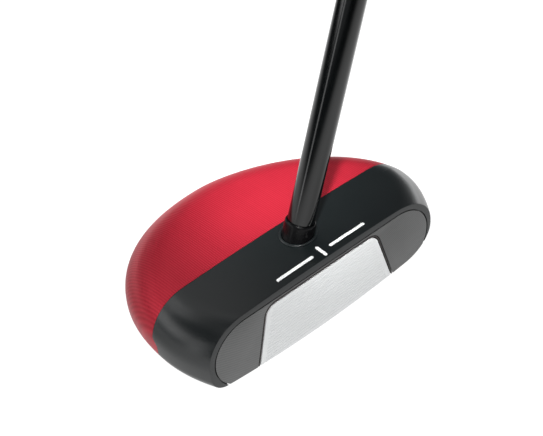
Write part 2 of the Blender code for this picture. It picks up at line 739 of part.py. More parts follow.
def sole_screw_places():
    across = SOLE_PLATE_HALF_WIDTH - SOLE_SCREW_MARGIN
    rows = (("front", SOLE_PLATE_FRONT + SOLE_SCREW_MARGIN), ("rear", SOLE_PLATE_REAR - SOLE_SCREW_MARGIN))
    for end, y in rows:
        for side, x in (("toe", -across), ("heel", across)):
            yield f"sole_screw_{end}_{side}", x, y


def hex_socket(name, radius, low, high, parent):
    mesh = cylinder_mesh(name, radius, low, high, segments=6)
    return add_object(name, mesh, None, parent)


def make_sole_plate():
    shape = rounded_rectangle((-SOLE_PLATE_HALF_WIDTH, SOLE_PLATE_FRONT),
                              (SOLE_PLATE_HALF_WIDTH, SOLE_PLATE_REAR), SOLE_PLATE_CORNER)
    mesh = outline_mesh("sole_plate", shape, 0.0, SOLE_PLATE_THICK)
    plate = add_object("sole_plate", mesh, DARK_METAL)
    for label, x, y in sole_screw_places():
        through = cylinder_mesh(label + "_seat", SOLE_SCREW_HEAD + GAP, -1.0, 1.3, (x, y), 20)
        boolean(plate, add_object(label + "_seat", through))
        shank = cylinder_mesh(label + "_pass", SOLE_SCREW_RADIUS + GAP, -1.0, 5.0, (x, y), 16)
        boolean(plate, add_object(label + "_pass", shank))
    for label, x, y in sole_screw_places():
        make_sole_screw(label, x, y)


def make_sole_screw(name, x, y):
    """A small socket screw, head down in its seat in the sole plate."""
    place = add_empty(name + "_place", (x, y, SOLE_SCREW_SINK), (math.pi, 0.0, 0.0))
    head, shank = SOLE_SCREW_HEAD, SOLE_SCREW_RADIUS
    profile = [(0.0, 0.0), (head - 0.2, 0.0), (head, -0.2), (head, -0.8), (shank, -0.8),
               (shank, -SOLE_SCREW_LENGTH), (0.0, -SOLE_SCREW_LENGTH)]
    screw = turned(name, profile, STEEL, place, steps=20)
    boolean(screw, hex_socket(name + "_socket", 0.9, -0.55, 1.0, place))


def make_body_screws():
    for label, x in body_screw_frames():
        face = SEAM_Y + GAP + WEB_THICK + GAP
        name = "body_screw_" + label
        place = add_empty(name + "_place", (x, face, BODY_SCREW_Z), (-math.pi / 2, 0.0, 0.0))
        head, shank = BODY_SCREW_HEAD, BODY_SCREW_RADIUS
        tip = -BODY_SCREW_LENGTH + GAP + 0.3
        profile = [(0.0, 3.0), (head - 0.3, 3.0), (head, 2.7), (head, 0.0), (shank, 0.0),
                   (shank, tip), (0.0, tip)]
        screw = turned(name, profile, STEEL, place, steps=24)
        boolean(screw, hex_socket(name + "_socket", 1.45, 1.4, 4.0, place))


def make_weights():
    """Screw-in sole weights. Each origin is on its own thread axis."""
    for label, side in (("toe", -1), ("heel", 1)):
        name = "sole_weight_" + label
        spot = (side * WEIGHT_X, WEIGHT_Y, WEIGHT_BOTTOM)
        place = add_empty(name + "_place", spot, (math.pi, 0.0, 0.0))
        low = -WEIGHT_HEIGHT
        profile = [(0.0, 0.0), (WEIGHT_RADIUS - 0.4, 0.0), (WEIGHT_RADIUS, -0.4),
                   (WEIGHT_RADIUS, low + 0.4), (WEIGHT_RADIUS - 0.4, low), (0.0, low)]
        weight = turned(name, profile, TUNGSTEN, place, steps=36)
        boolean(weight, hex_socket(name + "_socket", 2.9, -3.2, 1.0, place))
        ring_top = low - GAP
        outer, inner = WEIGHT_RADIUS - 0.5, WEIGHT_RADIUS - 2.3
        turned("weight_washer_" + label, [(outer, ring_top), (outer, ring_top - WASHER_THICK),
                                          (inner, ring_top - WASHER_THICK), (inner, ring_top)],
               RUBBER, place, steps=28, closed=True)


make_front_body()
make_rear_shell()
make_face()
make_marks()
make_shaft()
make_ferrule()
make_crown_ring()
GRIP_FLAT_CUTTER = make_grip()
make_grip_cap(GRIP_FLAT_CUTTER)
make_sole_plate()
make_body_screws()
make_weights()
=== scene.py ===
"""Looks for the mallet putter: fine head castings, grooved insert, shaft, grip and studio."""

import math

import bmesh
import bpy
from mathutils import Matrix, Vector


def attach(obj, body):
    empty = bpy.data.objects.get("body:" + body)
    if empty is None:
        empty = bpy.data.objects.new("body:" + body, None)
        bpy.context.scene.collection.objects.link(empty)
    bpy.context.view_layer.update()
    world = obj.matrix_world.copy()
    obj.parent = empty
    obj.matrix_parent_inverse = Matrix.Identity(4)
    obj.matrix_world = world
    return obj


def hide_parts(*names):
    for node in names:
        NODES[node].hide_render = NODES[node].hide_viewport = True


MM = 0.001
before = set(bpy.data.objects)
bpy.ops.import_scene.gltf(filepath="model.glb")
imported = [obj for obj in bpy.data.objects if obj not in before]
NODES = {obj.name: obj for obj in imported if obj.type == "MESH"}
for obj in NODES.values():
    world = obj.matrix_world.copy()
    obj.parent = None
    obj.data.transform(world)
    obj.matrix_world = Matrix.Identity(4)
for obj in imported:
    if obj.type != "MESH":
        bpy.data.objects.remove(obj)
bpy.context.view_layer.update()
ROOT = "putter"

# ---------------------------------------------------------------- sizes, in millimetres

# clearances between pieces
GAP = 0.3
SLOT_GAP = 0.2

# head outline and section; y runs to the back, z up
CROWN_Z = 28.0
SOLE_Z = 0.3
FACE_Y = -30.5
LOFT = math.radians(3.0)
FRONT_Y = -45.0
WIDEST_Y = -11.4
HALF_WIDTH_FACE = 51.2
HALF_WIDTH_TOE = 55.5
HALF_WIDTH_HEEL = 58.4
REAR_DEPTH = 54.0
TOE_EXPONENT = 2.2
HEEL_EXPONENT = 1.7
CROWN_RADIUS = 1000.0
SOLE_RADIUS = 375.0
CROWN_FALL = 4.5
FALL_Y = -7.0
FALL_RUN = 40.0
TOE_SHOULDER = 13.6
HEEL_SHOULDER = 12.5
REAR_SHOULDER = 18.0
TOE_KEEL = 5.0
HEEL_KEEL = 9.0
REAR_KEEL = 5.5
SIDE_FLAT = 1.0
EDGE_BEVEL = 0.9

# seam between the two castings, stepped where it goes down the side
SEAM_Y = -7.0
SEAM_GAP = 0.12
SEAM_STEP = 2.3
SEAM_STEP_TOP = 14.5
SEAM_STEP_BOTTOM = 12.0

# face plate, insert and tray; z runs down from the crown in the face's own frame
PLATE_HALF_WIDTH = 48.5
PLATE_TOP = -2.95
PLATE_MIDDLE = -15.3
PLATE_END_REACH = 14.0
PLATE_LOWER_RISE = 13.4
PLATE_THICK = 2.5
PLATE_FLOOR = 3.6
PLATE_FIT = 0.02
PLATE_EDGE = 0.18
RIM_CLEARANCE = 0.45
GAP_DEPTH = 0.9
INSERT_X = -0.65
INSERT_TOP = -4.6
INSERT_TOP_HALF = 24.5
INSERT_BOTTOM = -32.0
INSERT_FLARE = 6.0 / 21.9
INSERT_CORNER = 4.5
INSERT_THICK = 4.0
INSERT_EDGE = 0.12
INSERT_SHRINK = 0.1
TRAY_LIP = 0.45
TRAY_FRONT = 0.08
TRAY_BACK = 6.3
INSERT_FLOOR = 7.5
GROOVE_PITCH = 1.2
INSERT_FRONT = 0.05
GROOVE_ROUND = 0.9
GROOVE_DEPTH = 0.10
GROOVE_BORDER = 2.0
GROOVE_LOWEST = 2.0

# alignment marks
MARK_X = 2.2
MARK_Y = -27.0
MARK_WIDTH = 1.2
MARK_DEPTH = 0.6
MARK_FIT = 0.05
MARK_EDGE = 0.1
LINE_INNER = 3.7
LINE_OUTER = 19.8
DASH_HALF = 2.7

# shaft, ferrule and grip; heights run up the shaft from the crown
SHAFT_Y = -15.4
LIE_TILT = math.radians(19.5)
CLUB_LENGTH = 889.0
SHAFT_TIP_RADIUS = 4.7
SHAFT_BUTT_RADIUS = 7.4
SHAFT_WALL = 0.5
TAPER_START = 250.0
TAPER_END = 560.0
TIP_DEPTH = 17.5
BORE_DEPTH = 18.2
BORE_RADIUS = 5.7
FERRULE_RADIUS = 5.4
FERRULE_HEIGHT = 5.6
FERRULE_FLANGE_RADIUS = 6.1
SEAT_HEIGHT = 0.62
GRIP_LENGTH = 270.0
GRIP_LOW_RADIUS = 11.2
GRIP_TOP_RADIUS = 13.6
GRIP_FLAT = 0.86
CAP_THICK = 3.0
TAPE_THICK = 0.4

GRIP_TEXTURE = 0.35
GRIP_FADE_IN = 0.06
GRIP_FADE_OUT = 0.95
GRIP_FADE_RUN = 0.02
GRIP_END_ROUND = 2.6
GRIP_RING_GROOVE = 0.3
GRIP_GROOVE_FROM = 6.0
GRIP_GROOVE_TO = 7.6
GRIP_BORE = 2 * GAP + TAPE_THICK
RIB_PITCH = 3.0
WEAVE_PITCH = 15.0
WEAVE_COUNT = 9

# screws, sole plate and weights
BODY_SCREW_X = 15.5
BODY_SCREW_Z = 13.0
BODY_SCREW_LENGTH = 12.0
BODY_SCREW_RADIUS = 1.5
WEB_THICK = 4.0
SOLE_PLATE_HALF_WIDTH = 19.0
SOLE_PLATE_FRONT = -2.0
SOLE_PLATE_REAR = 27.0
SOLE_PLATE_THICK = 1.6
SOLE_PLATE_CORNER = 6.0
SOLE_SCREW_RADIUS = 1.0
SOLE_SCREW_HEAD = 1.9
SOLE_HEAD_THICK = 0.8
SOLE_SEAT_DEPTH = 1.3
SOLE_SCREW_LENGTH = 5.0
SOLE_SCREW_MARGIN = 4.0
SOLE_SCREW_SINK = 0.2
SOLE_SOCKET = 0.9
SOLE_SOCKET_DEPTH = 0.55
WEIGHT_X = 33.0
WEIGHT_Y = 6.0
WEIGHT_RADIUS = 6.5
WEIGHT_BOTTOM = 2.2
WEIGHT_HEIGHT = 7.0
WASHER_THICK = 0.8
WEIGHT_RING_PITCH = 0.85
WEIGHT_RINGS = 6
WEIGHT_NOTCHES = 8
WEIGHT_NOTCH_CIRCLE = 5.75
WEIGHT_NOTCH = 0.32
WEIGHT_NOTCH_DEPTH = 0.3
WEIGHT_SOCKET = 2.9
WEIGHT_SOCKET_DEPTH = 3.2

# where cutters start and end, clear of the piece they cut
AHEAD = -5.0
BELOW = -5.0
ABOVE = 35.0
FAR = 80.0

# machining marks, in metres; a wave texture takes the sine of 20 x scale x distance
MILL_PITCH = 0.0008
ARC_PITCH = 0.0009
WAVE_FACTOR = 20
CUTTER_LINES = 2 * math.pi / (WAVE_FACTOR * MILL_PITCH)
ARC_LINES = 2 * math.pi / (WAVE_FACTOR * ARC_PITCH)
ARC_CENTRE = (0.0, 0.0, -0.12)

REAR_STEPS = 144
SIDE_STEPS = 26
SHOULDER_STEPS = 16
KEEL_STEPS = 10
CROSS_STEPS = 44
GRIP_RINGS = 360
GRIP_STEPS = 144
TURN_STEPS = 128


# ---------------------------------------------------------------- node materials

def graph(name):
    made = bpy.data.materials.new(name)
    made.use_nodes = True
    tree = made.node_tree
    return made, tree, tree.nodes["Principled BSDF"]


def coordinates(tree, scale=(1.0, 1.0, 1.0), rotation=(0.0, 0.0, 0.0)):
    """Object coordinates in metres, turned and stretched."""
    source = tree.nodes.new("ShaderNodeTexCoord")
    mapping = tree.nodes.new("ShaderNodeMapping")
    mapping.inputs["Scale"].default_value = scale
    mapping.inputs["Rotation"].default_value = rotation
    tree.links.new(source.outputs["Object"], mapping.inputs["Vector"])
    return mapping.outputs["Vector"]


def noise(tree, vector, scale, detail=3.0, roughness=0.55):
    node = tree.nodes.new("ShaderNodeTexNoise")
    node.inputs["Scale"].default_value = scale
    node.inputs["Detail"].default_value = detail
    node.inputs["Roughness"].default_value = roughness
    tree.links.new(vector, node.inputs["Vector"])
    return node.outputs["Fac"]


def spread(tree, value, low, high, start=0.3, end=0.7):
    node = tree.nodes.new("ShaderNodeMapRange")
    node.inputs["From Min"].default_value = start
    node.inputs["From Max"].default_value = end
    node.inputs["To Min"].default_value = low
    node.inputs["To Max"].default_value = high
    tree.links.new(value, node.inputs["Value"])
    return node.outputs["Result"]


def blend_color(tree, factor, first, second):
    node = tree.nodes.new("ShaderNodeMix")
    node.data_type = "RGBA"
    node.inputs[6].default_value = (*first, 1.0)
    node.inputs[7].default_value = (*second, 1.0)
    tree.links.new(factor, node.inputs[0])
    return node.outputs[2]


def math_node(tree, operation, first, second):
    node = tree.nodes.new("ShaderNodeMath")
    node.operation = operation
    for socket, value in zip(node.inputs, (first, second)):
        if isinstance(value, (int, float)):
            socket.default_value = value
        else:
            tree.links.new(value, socket)
    return node.outputs[0]


def bump(tree, height, distance):
    node = tree.nodes.new("ShaderNodeBump")
    node.inputs["Distance"].default_value = distance
    tree.links.new(height, node.inputs["Height"])
    return node.outputs["Normal"]


def lines(tree, vector, scale):
    """Straight lines across X."""
    node = tree.nodes.new("ShaderNodeTexWave")
    node.wave_type = "BANDS"
    node.bands_direction = "X"
    node.wave_profile = "SIN"
    node.inputs["Scale"].default_value = scale
    node.inputs["Distortion"].default_value = 0.0
    node.inputs["Detail"].default_value = 1.0
    tree.links.new(vector, node.inputs["Vector"])
    return node.outputs["Fac"]


def surface(name, first, second, metallic, rough, speckle=900.0, grain=0.00002, patch=60.0,
            coat=0.0, specular=0.5):
    """A coated, moulded or machined surface: two close tones, uneven gloss and a fine grain."""
    made, tree, shader = graph(name)
    place = coordinates(tree)
    patches = noise(tree, place, patch, 4.0)
    fine = noise(tree, place, speckle, 2.0)
    mixed = math_node(tree, "ADD", math_node(tree, "MULTIPLY", patches, 0.6),
                      math_node(tree, "MULTIPLY", fine, 0.4))
    tone = spread(tree, mixed, 0.0, 1.0, 0.35, 0.65)
    tree.links.new(blend_color(tree, tone, first, second), shader.inputs["Base Color"])
    tree.links.new(spread(tree, mixed, rough[0], rough[1]), shader.inputs["Roughness"])
    shader.inputs["Metallic"].default_value = metallic
    shader.inputs["Specular IOR Level"].default_value = specular
    shader.inputs["Coat Weight"].default_value = coat
    shader.inputs["Coat Roughness"].default_value = 0.08
    tree.links.new(bump(tree, fine, grain), shader.inputs["Normal"])
    return made


def brushed(name, first, second, metallic, rough, stretch, scale, depth):
    """Metal with streaks: noise squeezed across the cut and drawn out along it."""
    made, tree, shader = graph(name)
    place = coordinates(tree, stretch)
    streaks = noise(tree, place, scale, 4.0, 0.65)
    patches = noise(tree, coordinates(tree), 45.0, 3.0)
    mixed = math_node(tree, "ADD", math_node(tree, "MULTIPLY", streaks, 0.7),
                      math_node(tree, "MULTIPLY", patches, 0.3))
    tone = spread(tree, mixed, 0.0, 1.0, 0.35, 0.65)
    tree.links.new(blend_color(tree, tone, first, second), shader.inputs["Base Color"])
    tree.links.new(spread(tree, streaks, rough[0], rough[1]), shader.inputs["Roughness"])
    shader.inputs["Metallic"].default_value = metallic
    tree.links.new(bump(tree, streaks, depth), shader.inputs["Normal"])
    return made


def milled_red():
    """Red anodised metal with cutter lines that run from the face to the back."""
    made, tree, shader = graph("milled_red_anodised")
    place = coordinates(tree)
    cut = lines(tree, place, CUTTER_LINES)
    streaks = noise(tree, coordinates(tree, (1.0, 0.03, 0.03)), 1800.0, 2.0, 0.5)
    patches = noise(tree, place, 30.0, 3.0)
    mixed = math_node(tree, "ADD", math_node(tree, "MULTIPLY", streaks, 0.4),
                      math_node(tree, "MULTIPLY", patches, 0.6))
    tone = math_node(tree, "ADD", spread(tree, mixed, 0.0, 0.35, 0.3, 0.7),
                     math_node(tree, "MULTIPLY", cut, 0.65))
    color = blend_color(tree, tone, (0.40, 0.012, 0.027), (0.55, 0.024, 0.046))
    tree.links.new(color, shader.inputs["Base Color"])
    tree.links.new(spread(tree, mixed, 0.43, 0.47), shader.inputs["Roughness"])
    shader.inputs["Metallic"].default_value = 0.42
    shader.inputs["Specular IOR Level"].default_value = 0.2
    shader.inputs["Anisotropic"].default_value = 0.95
    tangent = tree.nodes.new("ShaderNodeTangent")
    tangent.direction_type = "UV_MAP"
    tangent.uv_map = "across"
    tree.links.new(tangent.outputs["Tangent"], shader.inputs["Tangent"])
    tree.links.new(bump(tree, cut, 0.00003), shader.inputs["Normal"])
    return made


def fly_cut(name, first, second, metallic, rough):
    """A face milled with one wide cutter: shallow arcs over fine streaks."""
    made, tree, shader = graph(name)
    place = coordinates(tree)
    source = tree.nodes.new("ShaderNodeMapping")
    source.inputs["Location"].default_value = ARC_CENTRE
    tree.links.new(place, source.inputs["Vector"])
    arcs = tree.nodes.new("ShaderNodeTexWave")
    arcs.wave_type = "RINGS"
    arcs.rings_direction = "Y"
    arcs.wave_profile = "SIN"
    arcs.inputs["Scale"].default_value = ARC_LINES
    arcs.inputs["Distortion"].default_value = 0.4
    arcs.inputs["Detail"].default_value = 2.0
    tree.links.new(source.outputs["Vector"], arcs.inputs["Vector"])
    drawn = coordinates(tree, (0.12, 1.0, 1.0), (0.0, math.radians(38.0), 0.0))
    streaks = noise(tree, drawn, 1600.0, 3.0)
    patches = noise(tree, place, 70.0, 3.0)
    tone = math_node(tree, "ADD", math_node(tree, "MULTIPLY", arcs.outputs["Fac"], 0.45),
                     math_node(tree, "MULTIPLY", spread(tree, streaks, 0.0, 0.35), 1.0))
    tone = math_node(tree, "ADD", tone, spread(tree, patches, 0.0, 0.2))
    tree.links.new(blend_color(tree, tone, first, second), shader.inputs["Base Color"])
    tree.links.new(spread(tree, streaks, rough[0], rough[1]), shader.inputs["Roughness"])
    shader.inputs["Metallic"].default_value = metallic
    tree.links.new(bump(tree, arcs.outputs["Fac"], 0.000012), shader.inputs["Normal"])
    return made


BLACK = surface("satin_black_coating", (0.005, 0.0072, 0.0078), (0.0065, 0.0088, 0.0095), 0.0,
                (0.28, 0.33), 1500.0, 0.000001, 40.0)
RED = milled_red()
PLATE_GREY = fly_cut("milled_grey_plate", (0.095, 0.097, 0.097), (0.155, 0.156, 0.155), 0.85,
                     (0.36, 0.5))
INSERT_WHITE = surface("white_urethane_face", (0.815, 0.826, 0.826), (0.825, 0.836, 0.836), 0.0,
                       (0.42, 0.5), 1400.0, 0.0000002, 50.0)
# the same urethane, darker: painted shade for the floors of the face grooves
GROOVE_PAINTED_SHADE = surface("white_urethane_groove_painted_shade", (0.755, 0.77, 0.77), (0.775, 0.79, 0.79), 0.0,
                       (0.5, 0.6), 1400.0, 0.0000002, 50.0)
TRAY_DARK = surface("dark_anodised_tray", (0.02, 0.018, 0.018), (0.05, 0.04, 0.038), 0.5,
                    (0.4, 0.52), 1100.0, 0.00001)
GLUE = surface("cured_adhesive", (0.50, 0.44, 0.28), (0.60, 0.54, 0.40), 0.0, (0.45, 0.65), 500.0,
               0.00004)
PAINT = surface("white_paint_fill", (0.93, 0.945, 0.94), (0.96, 0.97, 0.965), 0.0, (0.35, 0.5),
                1200.0, 0.00001)
SHAFT_BLACK = surface("gloss_black_shaft", (0.0004, 0.0006, 0.0007), (0.0008, 0.0011, 0.0012), 0.0,
                      (0.10, 0.15), 800.0, 0.000001, 25.0)
FERRULE_BLACK = surface("gloss_black_ferrule", (0.002, 0.002, 0.0022), (0.004, 0.004, 0.0044), 0.0,
                        (0.2, 0.26), 900.0, 0.000001, 80.0, 0.0, 0.12)
RUBBER = surface("moulded_rubber", (0.014, 0.014, 0.015), (0.028, 0.028, 0.03), 0.0, (0.6, 0.78),
                 1800.0, 0.00004, 90.0)
TAPE = surface("grip_tape_paper", (0.44, 0.38, 0.25), (0.56, 0.50, 0.36), 0.0, (0.7, 0.85), 1500.0,
               0.00003)
CORK = surface("cork_grain", (0.22, 0.12, 0.05), (0.52, 0.35, 0.19), 0.0, (0.8, 0.95), 700.0,
               0.00015, 350.0)
STEEL = brushed("turned_steel", (0.46, 0.46, 0.45), (0.62, 0.62, 0.61), 1.0, (0.22, 0.36),
                (1.0, 1.0, 8.0), 900.0, 0.000006)
WEIGHT_METAL = brushed("dark_turned_weight", (0.09, 0.09, 0.095), (0.17, 0.17, 0.175), 1.0,
                       (0.26, 0.4), (1.0, 1.0, 10.0), 800.0, 0.000008)
SOLE_METAL = brushed("dark_brushed_sole", (0.05, 0.047, 0.047), (0.11, 0.105, 0.104), 0.9,
                     (0.34, 0.48), (0.06, 1.0, 1.0), 1500.0, 0.00001)


# ---------------------------------------------------------------- building blocks

def link(name, mesh, matrix=None):
    made = bpy.data.objects.new(name, mesh)
    bpy.context.scene.collection.objects.link(made)
    if matrix is not None:
        made.matrix_world = matrix
    return made


def bake(obj):
    """Applies the modifiers and the placing, so the vertices are in the shared frame."""
    depsgraph = bpy.context.evaluated_depsgraph_get()
    mesh = bpy.data.meshes.new_from_object(obj.evaluated_get(depsgraph))
    mesh.transform(obj.matrix_world)
    obj.modifiers.clear()
    obj.data = mesh
    obj.matrix_world = Matrix.Identity(4)
    return obj


def carve(target, cutters, operation="DIFFERENCE", keep=False):
    for cutter in cutters:
        step = target.modifiers.new("cut", "BOOLEAN")
        step.operation = operation
        step.solver = "EXACT"
        step.object = cutter
    bake(target)
    if not keep:
        for cutter in cutters:
            bpy.data.objects.remove(cutter, do_unlink=True)
    return target


def round_edges(target, width, segments=3, limit=40.0):
    step = target.modifiers.new("edges", "BEVEL")
    step.width = width * MM
    step.segments = segments
    step.limit_method = "ANGLE"
    step.angle_limit = math.radians(limit)
    step.use_clamp_overlap = True
    step.miter_outer = "MITER_ARC"
    return bake(target)


def dress(obj, look, body, nodes, crease=32.0):
    """Finish, smooth shading, and the body and CAD nodes that the piece stands for."""
    mesh = obj.data
    mesh.materials.clear()
    mesh.materials.append(look)
    mesh.shade_smooth()
    mesh.set_sharp_from_angle(angle=math.radians(crease))
    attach(obj, body)
    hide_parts(*nodes)
    return obj


def bm_mesh(name, bm):
    mesh = bpy.data.meshes.new(name)
    bm.to_mesh(mesh)
    bm.free()
    return mesh


def block(name, low, high, matrix=None):
    bm = bmesh.new()
    bmesh.ops.create_cube(bm, size=1.0)
    bmesh.ops.scale(bm, vec=[(b - a) * MM for a, b in zip(low, high)], verts=bm.verts)
    bmesh.ops.translate(bm, vec=[(a + b) / 2 * MM for a, b in zip(low, high)], verts=bm.verts)
    return link(name, bm_mesh(name, bm), matrix)


def cylinder(name, radius, low, high, matrix=None, segments=64):
    bm = bmesh.new()
    bmesh.ops.create_cone(bm, cap_ends=True, segments=segments, radius1=radius * MM,
                          radius2=radius * MM, depth=(high - low) * MM)
    bmesh.ops.translate(bm, vec=(0.0, 0.0, (low + high) / 2 * MM), verts=bm.verts)
    return link(name, bm_mesh(name, bm), matrix)


def turned(name, profile, matrix=None, steps=96, closed=False):
    """Turns (radius, height) points about Z, from the top of the outer side downwards."""
    bm = bmesh.new()
    rings = []
    for radius, height in profile:
        if radius < 1e-6:
            rings.append([bm.verts.new((0.0, 0.0, height * MM))])
            continue
        ring = []
        for step in range(steps):
            angle = math.tau * step / steps
            ring.append(bm.verts.new((radius * math.cos(angle) * MM, radius * math.sin(angle) * MM,
                                      height * MM)))
        rings.append(ring)
    pairs = list(zip(rings, rings[1:]))
    if closed:
        pairs.append((rings[-1], rings[0]))
    for upper, lower in pairs:
        for step in range(steps):
            after = (step + 1) % steps
            if len(upper) == 1:
                bm.faces.new((upper[0], lower[step], lower[after]))
            elif len(lower) == 1:
                bm.faces.new((upper[step], lower[0], upper[after]))
            else:
                bm.faces.new((upper[step], lower[step], lower[after], upper[after]))
    bmesh.ops.recalc_face_normals(bm, faces=bm.faces)
    return link(name, bm_mesh(name, bm), matrix)


def prism(name, outline, low, high, upright=False, matrix=None):
    """An outline given thickness along Z, or along Y when it stands upright in XZ."""
    bm = bmesh.new()
    if upright:
        near = [bm.verts.new((u * MM, low * MM, v * MM)) for u, v in outline]
        far = [bm.verts.new((u * MM, high * MM, v * MM)) for u, v in outline]
    else:
        near = [bm.verts.new((u * MM, v * MM, low * MM)) for u, v in outline]
        far = [bm.verts.new((u * MM, v * MM, high * MM)) for u, v in outline]
    count = len(outline)
    bm.faces.new(near)
    bm.faces.new(far[::-1])
    for index in range(count):
        after = (index + 1) % count
        bm.faces.new((near[index], near[after], far[after], far[index]))
    bmesh.ops.remove_doubles(bm, verts=bm.verts, dist=1e-7)
    bmesh.ops.recalc_face_normals(bm, faces=bm.faces)
    return link(name, bm_mesh(name, bm), matrix)


def arc(middle, radii, start, end, count):
    points = []
    for index in range(count + 1):
        angle = math.radians(start + (end - start) * index / count)
        points.append((middle[0] + radii[0] * math.cos(angle),
                       middle[1] + radii[1] * math.sin(angle)))
    return points


def stadium(half_length, half_width, middle=(0.0, 0.0), along_y=False, count=16):
    reach = half_length - half_width
    radii = (half_width, half_width)
    points = arc((reach, 0.0), radii, -90, 90, count) + arc((-reach, 0.0), radii, 90, 270, count)
    if along_y:
        points = [(-v, u) for u, v in points]
    return [(u + middle[0], v + middle[1]) for u, v in points]


def rounded_rectangle(low, high, radius, count=12):
    corners = ((high[0] - radius, low[1] + radius, -90), (high[0] - radius, high[1] - radius, 0),
               (low[0] + radius, high[1] - radius, 90), (low[0] + radius, low[1] + radius, 180))
    points = []
    for x, y, start in corners:
        points += arc((x, y), (radius, radius), start, start + 90, count)
    return points


FACE = Matrix.Translation(Vector((0.0, FACE_Y, CROWN_Z)) * MM) @ Matrix.Rotation(-LOFT, 4, "X")
SHAFT = (Matrix.Translation(Vector((MARK_X, SHAFT_Y, CROWN_Z)) * MM)
         @ Matrix.Rotation(LIE_TILT, 4, "Y"))


# ---------------------------------------------------------------- head envelope

def crown_height(x, y):
    fall = max(0.0, y - FALL_Y) / FALL_RUN
    return CROWN_Z - x * x / (2 * CROWN_RADIUS) - CROWN_FALL * fall * fall


def sole_height(x, y):
    return SOLE_Z + x * x / (2 * SOLE_RADIUS)


def side_point(y, heel):
    widest = HALF_WIDTH_HEEL if heel else HALF_WIDTH_TOE
    run = (WIDEST_Y - y) / (WIDEST_Y - FACE_Y)
    return widest - (widest - HALF_WIDTH_FACE) * run * run


def rear_point(angle):
    heel = math.cos(angle) > 0.0
    width = HALF_WIDTH_HEEL if heel else HALF_WIDTH_TOE
    power = 2.0 / (HEEL_EXPONENT if heel else TOE_EXPONENT)
    x = math.copysign(width * abs(math.cos(angle)) ** power, math.cos(angle))
    return x, WIDEST_Y + REAR_DEPTH * abs(math.sin(angle)) ** power


def head_outline():
    rows = [FRONT_Y + (WIDEST_Y - FRONT_Y) * i / SIDE_STEPS for i in range(SIDE_STEPS)]
    heel_side = [(side_point(y, True), y) for y in rows]
    rear = [rear_point(math.pi * i / REAR_STEPS) for i in range(REAR_STEPS + 1)]
    toe_side = [(-side_point(y, False), y) for y in reversed(rows)]
    return heel_side + rear + toe_side


def outward(points, index):
    before = Vector(points[max(index - 1, 0)])
    after = Vector(points[min(index + 1, len(points) - 1)])
    along = (after - before).normalized()
    return Vector((along.y, -along.x))


def head_column(point, normal):
    rearward = min(max((point[1] - WIDEST_Y) / REAR_DEPTH, 0.0), 1.0)
    heel = point[0] > 0.0
    side_shoulder = HEEL_SHOULDER if heel else TOE_SHOULDER
    side_keel = HEEL_KEEL if heel else TOE_KEEL
    shoulder = side_shoulder + (REAR_SHOULDER - side_shoulder) * rearward
    keel = side_keel + (REAR_KEEL - side_keel) * rearward
    room = crown_height(*point) - sole_height(*point) - keel - SIDE_FLAT
    drop = min(shoulder, room)
    column = []

    def add_point(back, turned_part, reach, height, sign):
        x = point[0] - normal.x * back * (1 - turned_part)
        y = point[1] - normal.y * back * (1 - turned_part)
        column.append((x, max(y, FRONT_Y), height(x, y) + sign * reach))

    for step in range(SHOULDER_STEPS + 1):
        angle = math.pi / 2 * step / SHOULDER_STEPS
        add_point(shoulder, math.sin(angle), drop * (1 - math.cos(angle)), crown_height, -1)
    for step in range(KEEL_STEPS + 1):
        angle = math.pi / 2 * (1 - step / KEEL_STEPS)
        add_point(keel, math.sin(angle), keel * (1 - math.cos(angle)), sole_height, 1)
    return column


def head_envelope(name):
    outline = head_outline()
    bm = bmesh.new()
    columns = []
    for index, point in enumerate(outline):
        column = head_column(point, outward(outline, index))
        if index in (0, len(outline) - 1):
            column = [(x, FRONT_Y, z) for x, _, z in column]
        columns.append([bm.verts.new(Vector(p) * MM) for p in column])
    for near, far in zip(columns, columns[1:]):
        for row in range(len(near) - 1):
            bm.faces.new((near[row], near[row + 1], far[row + 1], far[row]))
    last = len(columns) - 1
    rims = []
    for row, height in ((0, crown_height), (-1, sole_height)):
        rungs = []
        for index in range(last // 2):
            heel, toe = columns[index][row], columns[last - index][row]
            rung = [heel]
            for step in range(1, CROSS_STEPS):
                spot = heel.co.lerp(toe.co, step / CROSS_STEPS)
                spot.z = height(spot.x / MM, spot.y / MM) * MM
                rung.append(bm.verts.new(spot))
            rungs.append(rung + [toe])
        for near, far in zip(rungs, rungs[1:]):
            for step in range(CROSS_STEPS):
                bm.faces.new((near[step], far[step], far[step + 1], near[step + 1]))
        tip = columns[last // 2][row]
        for step in range(CROSS_STEPS):
            bm.faces.new((rungs[-1][step], tip, rungs[-1][step + 1]))
        rims.append(rungs[0])
    bm.faces.new(rims[0] + columns[last][1:-1] + rims[1][::-1] + columns[0][1:-1][::-1])
    bmesh.ops.recalc_face_normals(bm, faces=bm.faces)
    return link(name, bm_mesh(name, bm))


def seam_cutter(shift, far):
    outline = [(far, -20.0), (far, 60.0), (SEAM_Y + shift, 60.0), (SEAM_Y + shift, SEAM_STEP_TOP),
               (SEAM_Y - SEAM_STEP + shift, SEAM_STEP_BOTTOM), (SEAM_Y - SEAM_STEP + shift, -20.0)]
    stand = Matrix(((0, 0, 1, 0), (1, 0, 0, 0), (0, 1, 0, 0), (0, 0, 0, 1)))
    return prism("seam_cutter", outline, -80.0, 80.0, matrix=stand)


def plate_outline(grow=0.0):
    middle = (PLATE_HALF_WIDTH - PLATE_END_REACH, PLATE_MIDDLE)
    upper = (PLATE_END_REACH + grow, PLATE_TOP - PLATE_MIDDLE + grow)
    lower = (PLATE_END_REACH + grow, PLATE_LOWER_RISE + grow)
    heel = arc(middle, lower, -75, 0, 20)[:-1] + arc(middle, upper, 0, 90, 28)
    toe = [(-x, z) for x, z in reversed(heel)]
    floor = PLATE_MIDDLE - 20.0
    return [(heel[0][0], floor)] + heel + toe + [(toe[-1][0], floor)]


